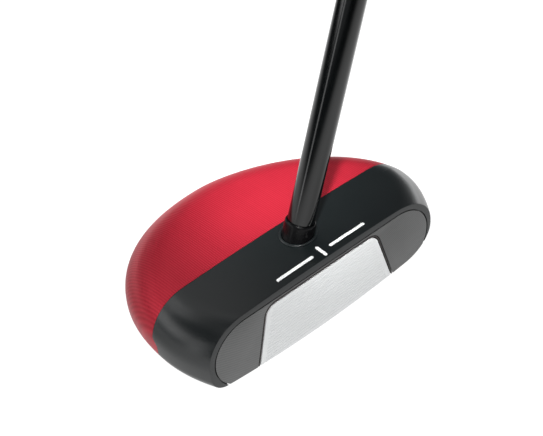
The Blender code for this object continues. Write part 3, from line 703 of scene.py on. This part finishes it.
def insert_outline(grow=0.0):
    side_angle = math.degrees(math.atan(INSERT_FLARE))
    radius = INSERT_CORNER + grow
    slant = math.hypot(1.0, INSERT_FLARE)
    top = INSERT_TOP + grow
    half = INSERT_TOP_HALF - INSERT_FLARE * grow + grow * slant
    corner_x = half + INSERT_FLARE * radius - radius * slant
    heel = arc((corner_x, top - radius), (radius, radius), side_angle, 90, 16)
    low = half + INSERT_FLARE * (top - INSERT_BOTTOM)
    right = [(low, INSERT_BOTTOM)] + heel
    left = [(-x, z) for x, z in reversed(right)]
    return [(x + INSERT_X, z) for x, z in right + left]


def insert_half_width(z, border):
    """Half width of the insert at a height, less a border inside its slanted side."""
    slant = math.hypot(1.0, INSERT_FLARE)
    return INSERT_TOP_HALF + INSERT_FLARE * (INSERT_TOP - z) - border * slant


HEAD = head_envelope("head_envelope")


def across_map(obj):
    """A flat map with U from toe to heel, so that the gloss spreads across the cutter lines."""
    layer = obj.data.uv_layers.new(name="across")
    for loop in obj.data.loops:
        spot = obj.data.vertices[loop.vertex_index].co
        layer.data[loop.index].uv = (spot.x * 10.0, (spot.y - spot.z) * 10.0)


# ---------------------------------------------------------------- castings

def mark_shapes(grow):
    reach = (LINE_OUTER - LINE_INNER) / 2
    middle = (LINE_OUTER + LINE_INNER) / 2
    half = MARK_WIDTH / 2
    marks = (("alignment_line_toe", MARK_X - middle, reach, False),
             ("alignment_line_heel", MARK_X + middle, reach, False),
             ("alignment_dash_centre", MARK_X, DASH_HALF, True))
    for name, x, length, along_y in marks:
        yield name, stadium(length + grow, half + grow, (x, MARK_Y), along_y)


def body_screw_matrix(x):
    return (Matrix.Translation(Vector((x, 0.0, BODY_SCREW_Z)) * MM)
            @ Matrix.Rotation(math.radians(-90.0), 4, "X"))


def make_front_body():
    body = head_envelope("front_body_fine")
    carve(body, [block("ahead", (-FAR, -40.0, -60.0), (FAR, 0.0, 40.0), FACE),
                 seam_cutter(0.0, FAR)])
    round_edges(body, EDGE_BEVEL, 4, 50.0)
    carve(body, [prism("plate_gap", plate_outline(RIM_CLEARANCE), AHEAD, GAP_DEPTH, True, FACE)])
    insert_pocket = insert_outline(TRAY_LIP + 2 * GAP)
    carve(body, [prism("plate_pocket", plate_outline(PLATE_FIT), AHEAD, PLATE_FLOOR, True, FACE),
                 prism("insert_pocket", insert_pocket, AHEAD, INSERT_FLOOR, True, FACE),
                 cylinder("bore", BORE_RADIUS, -BORE_DEPTH, 20.0, SHAFT)])
    cutters = []
    for name, shape in mark_shapes(MARK_FIT):
        cutters.append(prism(name + "_slot", shape, CROWN_Z - MARK_DEPTH - SLOT_GAP, ABOVE))
    low = SEAM_Y + WEB_THICK - BODY_SCREW_LENGTH - GAP
    for x in (-BODY_SCREW_X, BODY_SCREW_X):
        place = body_screw_matrix(x)
        cutters.append(cylinder("thread", BODY_SCREW_RADIUS + GAP, low, 0.0, place, 32))
    carve(body, cutters)
    return dress(body, BLACK, ROOT, ["front_body"])


def sole_screw_places():
    across = SOLE_PLATE_HALF_WIDTH - SOLE_SCREW_MARGIN
    rows = (("front", SOLE_PLATE_FRONT + SOLE_SCREW_MARGIN),
            ("rear", SOLE_PLATE_REAR - SOLE_SCREW_MARGIN))
    for end, y in rows:
        for side, x in (("toe", -across), ("heel", across)):
            yield f"sole_screw_{end}_{side}", x, y


def at(x, y, z=0.0):
    return Matrix.Translation(Vector((x, y, z)) * MM)


def make_rear_shell():
    shell = head_envelope("rear_shell_fine")
    carve(shell, [seam_cutter(SEAM_GAP, -FAR)])
    cutters = []
    for side in (-1, 1):
        top = WEIGHT_BOTTOM + WEIGHT_HEIGHT + WASHER_THICK + 2 * GAP
        cutters.append(cylinder("weight_hole", WEIGHT_RADIUS + GAP, BELOW, top,
                                at(side * WEIGHT_X, WEIGHT_Y), 96))
    recess = rounded_rectangle((-SOLE_PLATE_HALF_WIDTH - GAP, SOLE_PLATE_FRONT - GAP),
                               (SOLE_PLATE_HALF_WIDTH + GAP, SOLE_PLATE_REAR + GAP),
                               SOLE_PLATE_CORNER + GAP)
    cutters.append(prism("sole_recess", recess, BELOW, SOLE_PLATE_THICK + GAP))
    carve(shell, cutters)
    cutters = []
    for name, x, y in sole_screw_places():
        cutters.append(cylinder(name, SOLE_SCREW_RADIUS + GAP, BELOW, SOLE_SCREW_LENGTH + 3 * GAP,
                                at(x, y), 24))
    for x in (-BODY_SCREW_X, BODY_SCREW_X):
        cutters.append(cylinder("clear", BODY_SCREW_RADIUS + 2 * GAP + 1.2, -10.0, 3.0,
                                body_screw_matrix(x), 32))
    carve(shell, cutters)
    across_map(shell)
    return dress(shell, RED, ROOT, ["rear_shell"])


# ---------------------------------------------------------------- face

def make_face():
    plate = prism("face_plate_fine", plate_outline(), 0.0, PLATE_THICK, True, FACE)
    bake(plate)
    window = prism("window", insert_outline(TRAY_LIP + 2 * GAP), AHEAD, 10.0, True, FACE)
    carve(plate, [window])
    carve(plate, [HEAD], "INTERSECT", keep=True)
    round_edges(plate, PLATE_EDGE, 2, 60.0)
    dress(plate, PLATE_GREY, ROOT, ["face_plate"])

    insert = prism("face_insert_grooved", insert_outline(-INSERT_SHRINK), INSERT_FRONT,
                   INSERT_THICK, True, FACE)
    bake(insert)
    carve(insert, [HEAD], "INTERSECT", keep=True)
    round_edges(insert, INSERT_EDGE, 2, 60.0)
    cutters = []
    z = INSERT_TOP - GROOVE_BORDER
    while z > GROOVE_LOWEST - CROWN_Z:
        half = insert_half_width(z, GROOVE_BORDER)
        corner_drop = INSERT_TOP - z
        if corner_drop < INSERT_CORNER:
            rise = INSERT_CORNER - corner_drop
            half -= INSERT_CORNER - math.sqrt(INSERT_CORNER ** 2 - rise ** 2)
        middle = Matrix.Translation(Vector((INSERT_X, GROOVE_DEPTH - GROOVE_ROUND, z)) * MM)
        along = Matrix.Rotation(math.pi / 2, 4, "Y")
        cutters.append(cylinder("groove", GROOVE_ROUND, -half, half, FACE @ middle @ along, 80))
        z -= GROOVE_PITCH
    carve(insert, cutters)
    dress(insert, INSERT_WHITE, ROOT, ["face_insert"])
    # groove floors take the darker white: painted shade in the grooves
    insert.data.materials.append(GROOVE_PAINTED_SHADE)
    to_face = FACE.inverted()
    for polygon in insert.data.polygons:
        depth = (to_face @ polygon.center).y / MM
        if INSERT_FRONT + 0.01 < depth < 0.5 and (to_face.to_3x3() @ polygon.normal).y < -0.7:
            polygon.material_index = 1

    tray = prism("insert_tray_fine", insert_outline(TRAY_LIP + GAP), TRAY_FRONT, TRAY_BACK, True,
                 FACE)
    bake(tray)
    hollow = prism("hollow", insert_outline(GAP), AHEAD, INSERT_THICK + GAP, True, FACE)
    carve(tray, [hollow])
    carve(tray, [HEAD], "INTERSECT", keep=True)
    dress(tray, TRAY_DARK, ROOT, ["insert_tray"])


def make_marks():
    for name, shape in mark_shapes(0.0):
        fill = prism(name + "_fill", shape, CROWN_Z - MARK_DEPTH, ABOVE)
        carve(fill, [HEAD], "INTERSECT", keep=True)
        round_edges(fill, MARK_EDGE, 2, 60.0)
        dress(fill, PAINT, ROOT, [name])


# ---------------------------------------------------------------- shaft and grip

BUTT = CLUB_LENGTH - CROWN_Z / math.cos(LIE_TILT)
GRIP_TOP = BUTT - CAP_THICK - GAP
GRIP_BOTTOM = GRIP_TOP - GRIP_LENGTH


def shaft_radius(height):
    part = min(max((height - TAPER_START) / (TAPER_END - TAPER_START), 0.0), 1.0)
    return SHAFT_TIP_RADIUS + (SHAFT_BUTT_RADIUS - SHAFT_TIP_RADIUS) * part


def make_shaft():
    heights = [GRIP_TOP - 1.0, TAPER_END, TAPER_START, -TIP_DEPTH]
    outer = [(shaft_radius(h), h) for h in heights]
    inner = [(shaft_radius(h) - SHAFT_WALL, h) for h in reversed(heights)]
    shaft = bake(turned("shaft_fine", outer + inner, SHAFT, TURN_STEPS, True))
    dress(shaft, SHAFT_BLACK, ROOT, ["shaft"])

    inside = SHAFT_TIP_RADIUS + SLOT_GAP
    lip = inside + 0.05
    drop = 1.1
    foot = -6.0
    profile = [(lip, FERRULE_HEIGHT)]
    profile += [(lip + (FERRULE_RADIUS - lip) * math.sin(a),
                 FERRULE_HEIGHT - drop + drop * math.cos(a))
                for a in [math.pi / 2 * i / 8 for i in range(1, 9)]]
    profile += [(FERRULE_RADIUS, foot), (inside, foot), (inside, FERRULE_HEIGHT - 0.12)]
    ferrule = bake(turned("ferrule_fine", profile, SHAFT, TURN_STEPS, True))
    carve(ferrule, [block("below", (-40.0, -50.0, 0.0), (40.0, 20.0, CROWN_Z + 0.1))])
    dress(ferrule, FERRULE_BLACK, ROOT, ["ferrule"])

    outer = FERRULE_FLANGE_RADIUS + 0.2
    inner = FERRULE_RADIUS + 0.08
    profile = [(outer, 20.0), (outer, -20.0), (inner, -20.0), (inner, 20.0)]
    ring = bake(turned("ferrule_seat_fine", profile, SHAFT, TURN_STEPS, True))
    slab = block("slab", (-40.0, -50.0, CROWN_Z), (40.0, 20.0, CROWN_Z + SEAT_HEIGHT))
    carve(ring, [slab], "INTERSECT")
    round_edges(ring, 0.25, 3, 60.0)
    dress(ring, BLACK, ROOT, ["ferrule_seat_ring"])


def grip_radius(height):
    part = (height - GRIP_BOTTOM) / GRIP_LENGTH
    return GRIP_LOW_RADIUS + (GRIP_TOP_RADIUS - GRIP_LOW_RADIUS) * part


def grip_pattern(angle, height, flat):
    """Depth of the moulded pattern: diamonds round the back, fine ribs on the flat front."""
    along = (height - GRIP_BOTTOM) / GRIP_LENGTH
    fade_in = min(1.0, max(0.0, (along - GRIP_FADE_IN) / GRIP_FADE_RUN))
    fade = fade_in * min(1.0, max(0.0, (GRIP_FADE_OUT - along) / GRIP_FADE_RUN))
    if flat:
        return fade * GRIP_TEXTURE * 0.5 * (0.5 + 0.5 * math.cos(math.tau * height / RIB_PITCH))
    around = WEAVE_COUNT * angle
    climb = math.tau * height / WEAVE_PITCH
    weave = math.cos(around + climb) * math.cos(around - climb)
    return fade * GRIP_TEXTURE * min(1.0, max(0.0, abs(weave) * 3.0 - 0.4))


def grip_spot(reach, angle, height):
    return Vector((reach * math.cos(angle), reach * math.sin(angle), height)) * MM


def make_grip():
    """The grip as one closed sleeve: round at the back, flat in front, moulded pattern all over."""
    bm = bmesh.new()
    rings = []
    for index in range(GRIP_RINGS + 1):
        height = GRIP_TOP - GRIP_LENGTH * index / GRIP_RINGS
        radius = grip_radius(height)
        end = min(height - GRIP_BOTTOM, GRIP_TOP - height)
        if end < GRIP_END_ROUND:
            radius -= 1.0 - math.sqrt(max(0.0, 1.0 - (1.0 - end / GRIP_END_ROUND) ** 2))
        if GRIP_GROOVE_FROM < end < GRIP_GROOVE_TO:
            radius -= GRIP_RING_GROOVE
        ring = []
        for step in range(GRIP_STEPS):
            angle = math.tau * step / GRIP_STEPS
            limit = GRIP_FLAT * grip_radius(height) - (grip_radius(height) - radius)
            reach = radius
            ahead = -math.sin(angle) * radius
            flat = ahead > limit
            if flat:
                reach = limit / -math.sin(angle)
            reach -= grip_pattern(angle, height, flat)
            ring.append(bm.verts.new(grip_spot(reach, angle, height)))
        rings.append(ring)
    for height in (GRIP_BOTTOM, GRIP_TOP):
        reach = shaft_radius(height) + GRIP_BORE
        rings.append([bm.verts.new(grip_spot(reach, math.tau * step / GRIP_STEPS, height))
                      for step in range(GRIP_STEPS)])
    for upper, lower in list(zip(rings, rings[1:])) + [(rings[-1], rings[0])]:
        for step in range(GRIP_STEPS):
            after = (step + 1) % GRIP_STEPS
            bm.faces.new((upper[step], lower[step], lower[after], upper[after]))
    bmesh.ops.recalc_face_normals(bm, faces=bm.faces)
    grip = bake(link("grip_moulded", bm_mesh("grip_moulded", bm), SHAFT))
    dress(grip, RUBBER, ROOT, ["grip"], 50.0)

    radius = GRIP_TOP_RADIUS - 1.0
    spigot = SHAFT_BUTT_RADIUS - SHAFT_WALL - GAP
    low = BUTT - CAP_THICK
    edge = 1.2
    spigot_foot = low - 6.0
    vent = [(0.0, -2.0), (1.0, -2.0), (1.2, -0.25), (1.6, -0.25), (1.9, 0.0)]
    ring_groove = [(7.4, 0.0), (7.6, -0.35), (8.4, -0.35), (8.6, 0.0)]
    profile = [(r, BUTT + drop) for r, drop in vent + ring_groove] + [(radius - edge, BUTT)]
    profile += [(radius - edge + edge * math.sin(a), BUTT - edge + edge * math.cos(a))
                for a in [math.pi / 2 * i / 6 for i in range(1, 7)]]
    profile += [(radius, low), (spigot, low), (spigot, spigot_foot), (0.0, spigot_foot)]
    cap = bake(turned("grip_cap_fine", profile, SHAFT, 96))
    middle = (GRIP_TOP + GRIP_BOTTOM) / 2
    lean = math.atan2((GRIP_TOP_RADIUS - GRIP_LOW_RADIUS) * GRIP_FLAT, GRIP_LENGTH)
    front = at(0.0, -grip_radius(middle) * GRIP_FLAT, middle)
    place = SHAFT @ front @ Matrix.Rotation(lean, 4, "X")
    carve(cap, [block("grip_flat", (-40.0, -40.0, -200.0), (40.0, 0.0, 200.0), place)])
    dress(cap, RUBBER, ROOT, ["grip_cap"])


DOWN = Matrix.Rotation(math.pi, 4, "X")


def make_sole():
    shape = rounded_rectangle((-SOLE_PLATE_HALF_WIDTH, SOLE_PLATE_FRONT),
                              (SOLE_PLATE_HALF_WIDTH, SOLE_PLATE_REAR), SOLE_PLATE_CORNER)
    plate = prism("sole_plate_fine", shape, 0.0, SOLE_PLATE_THICK)
    round_edges(plate, 0.25, 3, 50.0)
    seats = []
    shanks = []
    for name, x, y in sole_screw_places():
        seats.append(cylinder(name + "_seat", SOLE_SCREW_HEAD + GAP, -1.0, SOLE_SEAT_DEPTH,
                              at(x, y), 48))
        shanks.append(cylinder(name + "_pass", SOLE_SCREW_RADIUS + GAP, -1.0, 5.0, at(x, y), 32))
    carve(plate, seats)
    carve(plate, shanks)
    dress(plate, SOLE_METAL, ROOT, ["sole_plate"])

    head, shank, under = SOLE_SCREW_HEAD, SOLE_SCREW_RADIUS, -SOLE_HEAD_THICK
    for name, x, y in sole_screw_places():
        profile = [(0.0, 0.0), (head - 0.35, 0.0), (head - 0.12, -0.06), (head, -0.24),
                   (head, under), (shank, under), (shank, -SOLE_SCREW_LENGTH),
                   (0.0, -SOLE_SCREW_LENGTH)]
        place = at(x, y, SOLE_SCREW_SINK) @ DOWN
        screw = bake(turned(name + "_fine", profile, place, 48))
        carve(screw, [cylinder("socket", SOLE_SOCKET, -SOLE_SOCKET_DEPTH, 1.0, place, 6)])
        dress(screw, STEEL, ROOT, [name])

    for side, x in (("toe", -WEIGHT_X), ("heel", WEIGHT_X)):
        rim = WEIGHT_RADIUS
        low = -WEIGHT_HEIGHT
        profile = [(0.0, 0.0), (4.1, 0.0), (4.25, -0.22), (4.65, -0.22), (4.8, 0.0),
                   (rim - 0.45, 0.0), (rim - 0.13, -0.13), (rim, -0.45)]
        for index in range(WEIGHT_RINGS):
            level = -1.0 - index * WEIGHT_RING_PITCH
            profile += [(rim, level), (rim - 0.35, level - 0.3), (rim, level - 0.6)]
        profile += [(rim, low + 0.4), (rim - 0.4, low), (0.0, low)]
        place = at(x, WEIGHT_Y, WEIGHT_BOTTOM) @ DOWN
        weight = bake(turned(f"sole_weight_{side}_fine", profile, place, 96))
        cutters = [cylinder("socket", WEIGHT_SOCKET, -WEIGHT_SOCKET_DEPTH, 1.0, place, 6)]
        for index in range(WEIGHT_NOTCHES):
            angle = math.tau * index / WEIGHT_NOTCHES
            spot = at(WEIGHT_NOTCH_CIRCLE * math.cos(angle), WEIGHT_NOTCH_CIRCLE * math.sin(angle))
            cutters.append(cylinder("notch", WEIGHT_NOTCH, -WEIGHT_NOTCH_DEPTH, 1.0,
                                    place @ spot, 16))
        carve(weight, cutters)
        dress(weight, WEIGHT_METAL, side + "_weight", ["sole_weight_" + side])


make_front_body()
make_rear_shell()
make_face()
make_marks()
make_shaft()
make_grip()
make_sole()

KEPT = {
    "body_screw_heel": STEEL, "body_screw_toe": STEEL,
    "face_plate_bond_heel": GLUE, "face_plate_bond_toe": GLUE,
    "insert_bond": GLUE, "shaft_bond": GLUE,
    "grip_tape": TAPE, "shaft_tip_plug": CORK,
    "weight_washer_heel": RUBBER, "weight_washer_toe": RUBBER,
}
for node, look in KEPT.items():
    NODES[node].data.materials.clear()
    NODES[node].data.materials.append(look)

bpy.data.objects.remove(HEAD, do_unlink=True)

# ---------------------------------------------------------------- floor, light and camera

# the floor as the camera sees it, and the painted light pool with painted shade patches that the
# club reflects, in metres
FLOOR_HALF = 4.0
FLOOR_DROP = 0.0003
FLOOR_SEEN = 0.97
POOL_CENTRE = (0.02, -0.02)
POOL_LIGHT = 1.3
POOL_REACH = 0.40
POOL_STEEPNESS = 4.0
SWEEP_CENTRE = (0.27, 0.06)
SWEEP_LIGHT = 1.2
SWEEP_REACH = 0.12
SHADE_CENTRE = (-0.075, 0.05)
SHADE_REACH = 0.06
SHADE_DEPTH = 0.75
# a painted shade patch in front of the face, seen only in reflections
FRONT_SHADE_CENTRE = (0.03, -0.07)
FRONT_SHADE_REACH = 0.06
FRONT_SHADE_DEPTH = 0.35
POOL_BASE = 0.02
# the lamp on the crown, and the sky's strength for everything but the camera
SPOT_POWER = 26.0
SPOT_REACH = 0.054
SPOT_DISTANCE = 0.5
SKY_DIM = 0.10
SKY_LIFT = 0.25


def ramp(tree, value, start, end):
    """0 to 1, smoothly, as a value goes from start to end."""
    node = tree.nodes.new("ShaderNodeMapRange")
    node.interpolation_type = "SMOOTHSTEP"
    node.inputs["From Min"].default_value = start
    node.inputs["From Max"].default_value = end
    tree.links.new(value, node.inputs["Value"])
    return node.outputs["Result"]


def hill(tree, place, centre, reach, steepness=2.0):
    """1 at the centre, falling off smoothly with distance."""
    away = tree.nodes.new("ShaderNodeVectorMath")
    away.operation = "DISTANCE"
    away.inputs[1].default_value = (*centre, 0.0)
    tree.links.new(place, away.inputs[0])
    part = math_node(tree, "DIVIDE", away.outputs["Value"], reach)
    return math_node(tree, "POWER", 1.0 / math.e, math_node(tree, "POWER", part, steepness))


def soft_patch(tree, place, centre, reach, amount, steepness=2.0):
    return math_node(tree, "MULTIPLY", hill(tree, place, centre, reach, steepness), amount)


def floor_look():
    """Pale floor, clear from below. In reflections: painted light pool, two painted shade patches.
    """
    made, tree, shader = graph("pale_sweep")
    place = coordinates(tree)
    mottle = noise(tree, place, 3.0, 4.0)
    tree.links.new(blend_color(tree, mottle, (0.22, 0.22, 0.22), (0.25, 0.25, 0.25)),
                   shader.inputs["Base Color"])
    grain = noise(tree, place, 60.0, 3.0)
    tree.links.new(spread(tree, grain, 0.6, 0.75), shader.inputs["Roughness"])
    shader.inputs["Specular IOR Level"].default_value = 0.1
    shader.inputs["Emission Color"].default_value = (1.0, 1.0, 1.0, 1.0)
    shader.inputs["Emission Strength"].default_value = FLOOR_SEEN
    pool = soft_patch(tree, place, POOL_CENTRE, POOL_REACH, POOL_LIGHT, POOL_STEEPNESS)
    sweep = soft_patch(tree, place, SWEEP_CENTRE, SWEEP_REACH, SWEEP_LIGHT)
    pool = math_node(tree, "ADD", pool, sweep)
    shade = soft_patch(tree, place, SHADE_CENTRE, SHADE_REACH, SHADE_DEPTH)
    # front: the painted shade patch in front of the face, taken off the painted light pool
    front = soft_patch(tree, place, FRONT_SHADE_CENTRE, FRONT_SHADE_REACH, FRONT_SHADE_DEPTH)
    shade = math_node(tree, "SUBTRACT", math_node(tree, "SUBTRACT", 1.0, shade), front)
    glow = math_node(tree, "ADD", math_node(tree, "MULTIPLY", pool, shade), POOL_BASE)
    pools = tree.nodes.new("ShaderNodeEmission")
    tree.links.new(glow, pools.inputs["Strength"])
    path = tree.nodes.new("ShaderNodeLightPath")
    either = tree.nodes.new("ShaderNodeMixShader")
    tree.links.new(path.outputs["Is Camera Ray"], either.inputs[0])
    tree.links.new(pools.outputs[0], either.inputs[1])
    tree.links.new(shader.outputs[0], either.inputs[2])
    below = tree.nodes.new("ShaderNodeNewGeometry")
    clear = tree.nodes.new("ShaderNodeBsdfTransparent")
    from_below = math_node(tree, "MULTIPLY", below.outputs["Backfacing"],
                           path.outputs["Is Camera Ray"])
    open_floor = tree.nodes.new("ShaderNodeMixShader")
    tree.links.new(from_below, open_floor.inputs[0])
    tree.links.new(either.outputs[0], open_floor.inputs[1])
    tree.links.new(clear.outputs[0], open_floor.inputs[2])
    tree.links.new(open_floor.outputs[0], tree.nodes["Material Output"].inputs["Surface"])
    return made


bm = bmesh.new()
bmesh.ops.create_grid(bm, x_segments=1, y_segments=1, size=FLOOR_HALF)
floor = link("floor", bm_mesh("floor", bm), Matrix.Translation((0.0, 0.0, -FLOOR_DROP)))
floor.data.materials.append(floor_look())


def softbox(name, direction, distance, size, radiance, target=(0.0, 0.0, 0.02)):
    """A soft panel that faces the target. Its power follows from how bright it looks."""
    light = bpy.data.lights.new(name, "AREA")
    light.shape = "RECTANGLE"
    light.size, light.size_y = size
    light.energy = math.pi * size[0] * size[1] * radiance
    made = bpy.data.objects.new(name, light)
    toward = Vector(direction).normalized()
    made.location = Vector(target) + toward * distance
    made.rotation_euler = toward.to_track_quat("Z", "Y").to_euler()
    made.visible_camera = False
    bpy.context.scene.collection.objects.link(made)
    return made


# name, direction from the target, distance, size, radiance, target
softbox("key", (-0.50, -0.72, 0.60), 1.1, (0.80, 0.50), 2.1)
softbox("overhead", (-0.22, -0.32, 0.92), 1.0, (0.90, 0.70), 0.9)
softbox("overhead_right", (0.46, -0.06, 0.885), 0.9, (0.34, 0.18), 3.2)
softbox("back_top_dim", (0.06, 0.60, 0.80), 0.55, (0.34, 0.26), 0.8)
softbox("back_left_top", (-0.36, 0.62, 0.70), 0.6, (0.26, 0.26), 1.7)
softbox("left_back_low", (-0.76, 0.59, 0.30), 0.6, (0.50, 0.22), 2.1)
softbox("right", (0.965, 0.22, 0.02), 0.36, (0.20, 0.055), 3.4, (0.02, 0.0, 0.02))
softbox("left_strip", (-0.987, 0.082, 0.0), 0.30, (0.05, 0.16), 2.0, (0.0, -0.015, 0.08))


def crown_spot():
    """A snooted lamp beside the camera: a soft pool on the middle of the crown."""
    target = Vector((0.022, 0.020, 0.026))
    direction = Vector((-0.38, -0.46, 0.80)).normalized()
    data = bpy.data.lights.new("crown_spot", "SPOT")
    data.energy = SPOT_POWER
    data.spot_size = 2 * math.atan(SPOT_REACH / SPOT_DISTANCE)
    data.spot_blend = 1.0
    data.shadow_soft_size = 0.02
    lamp = bpy.data.objects.new("crown_spot", data)
    lamp.location = target + direction * SPOT_DISTANCE
    lamp.rotation_euler = direction.to_track_quat("Z", "Y").to_euler()
    bpy.context.scene.collection.objects.link(lamp)


crown_spot()

world = bpy.data.worlds.new("studio")
world.use_nodes = True
bpy.context.scene.world = world
tree = world.node_tree
sky = tree.nodes["Background"]
source = tree.nodes.new("ShaderNodeTexCoord")
parts = tree.nodes.new("ShaderNodeSeparateXYZ")
tree.links.new(source.outputs["Generated"], parts.inputs[0])
level = ramp(tree, parts.outputs["Z"], 0.45, 0.0)
path = tree.nodes.new("ShaderNodeLightPath")
seen = path.outputs["Is Camera Ray"]
dim = math_node(tree, "ADD", math_node(tree, "MULTIPLY", level, SKY_LIFT), SKY_DIM)
hidden = math_node(tree, "SUBTRACT", 1.0, seen)
total = math_node(tree, "ADD", seen, math_node(tree, "MULTIPLY", hidden, dim))
tree.links.new(total, sky.inputs["Strength"])
tint = blend_color(tree, seen, (0.93, 0.965, 1.0), (1.0, 1.0, 1.0))
tree.links.new(tint, sky.inputs["Color"])

CAMERA_PLACE = (-0.19505, -0.25264, 0.30690)
CAMERA_AZIMUTH = math.radians(-38.20)
CAMERA_ELEVATION = math.radians(41.26)
CAMERA_ROLL = math.radians(-4.97)
CAMERA_LENS = 81.95


def camera_matrix():
    back = Vector((math.sin(CAMERA_AZIMUTH) * math.cos(CAMERA_ELEVATION),
                   -math.cos(CAMERA_AZIMUTH) * math.cos(CAMERA_ELEVATION),
                   math.sin(CAMERA_ELEVATION)))
    right = Vector((math.cos(CAMERA_AZIMUTH), math.sin(CAMERA_AZIMUTH), 0.0))
    up = back.cross(right)
    c, s = math.cos(CAMERA_ROLL), math.sin(CAMERA_ROLL)
    turned_right = c * right + s * up
    turned_up = c * up - s * right
    matrix = Matrix.Identity(4)
    for row in range(3):
        matrix[row][0] = turned_right[row]
        matrix[row][1] = turned_up[row]
        matrix[row][2] = back[row]
        matrix[row][3] = CAMERA_PLACE[row]
    return matrix


lens = bpy.data.cameras.new("camera")
lens.lens = CAMERA_LENS
lens.sensor_width = 36.0
lens.clip_start = 0.01
camera = bpy.data.objects.new("camera", lens)
camera.matrix_world = camera_matrix()
bpy.context.scene.collection.objects.link(camera)
bpy.context.scene.camera = camera
bpy.context.scene.view_settings.view_transform = "Standard"
bpy.context.scene.view_settings.look = "None"
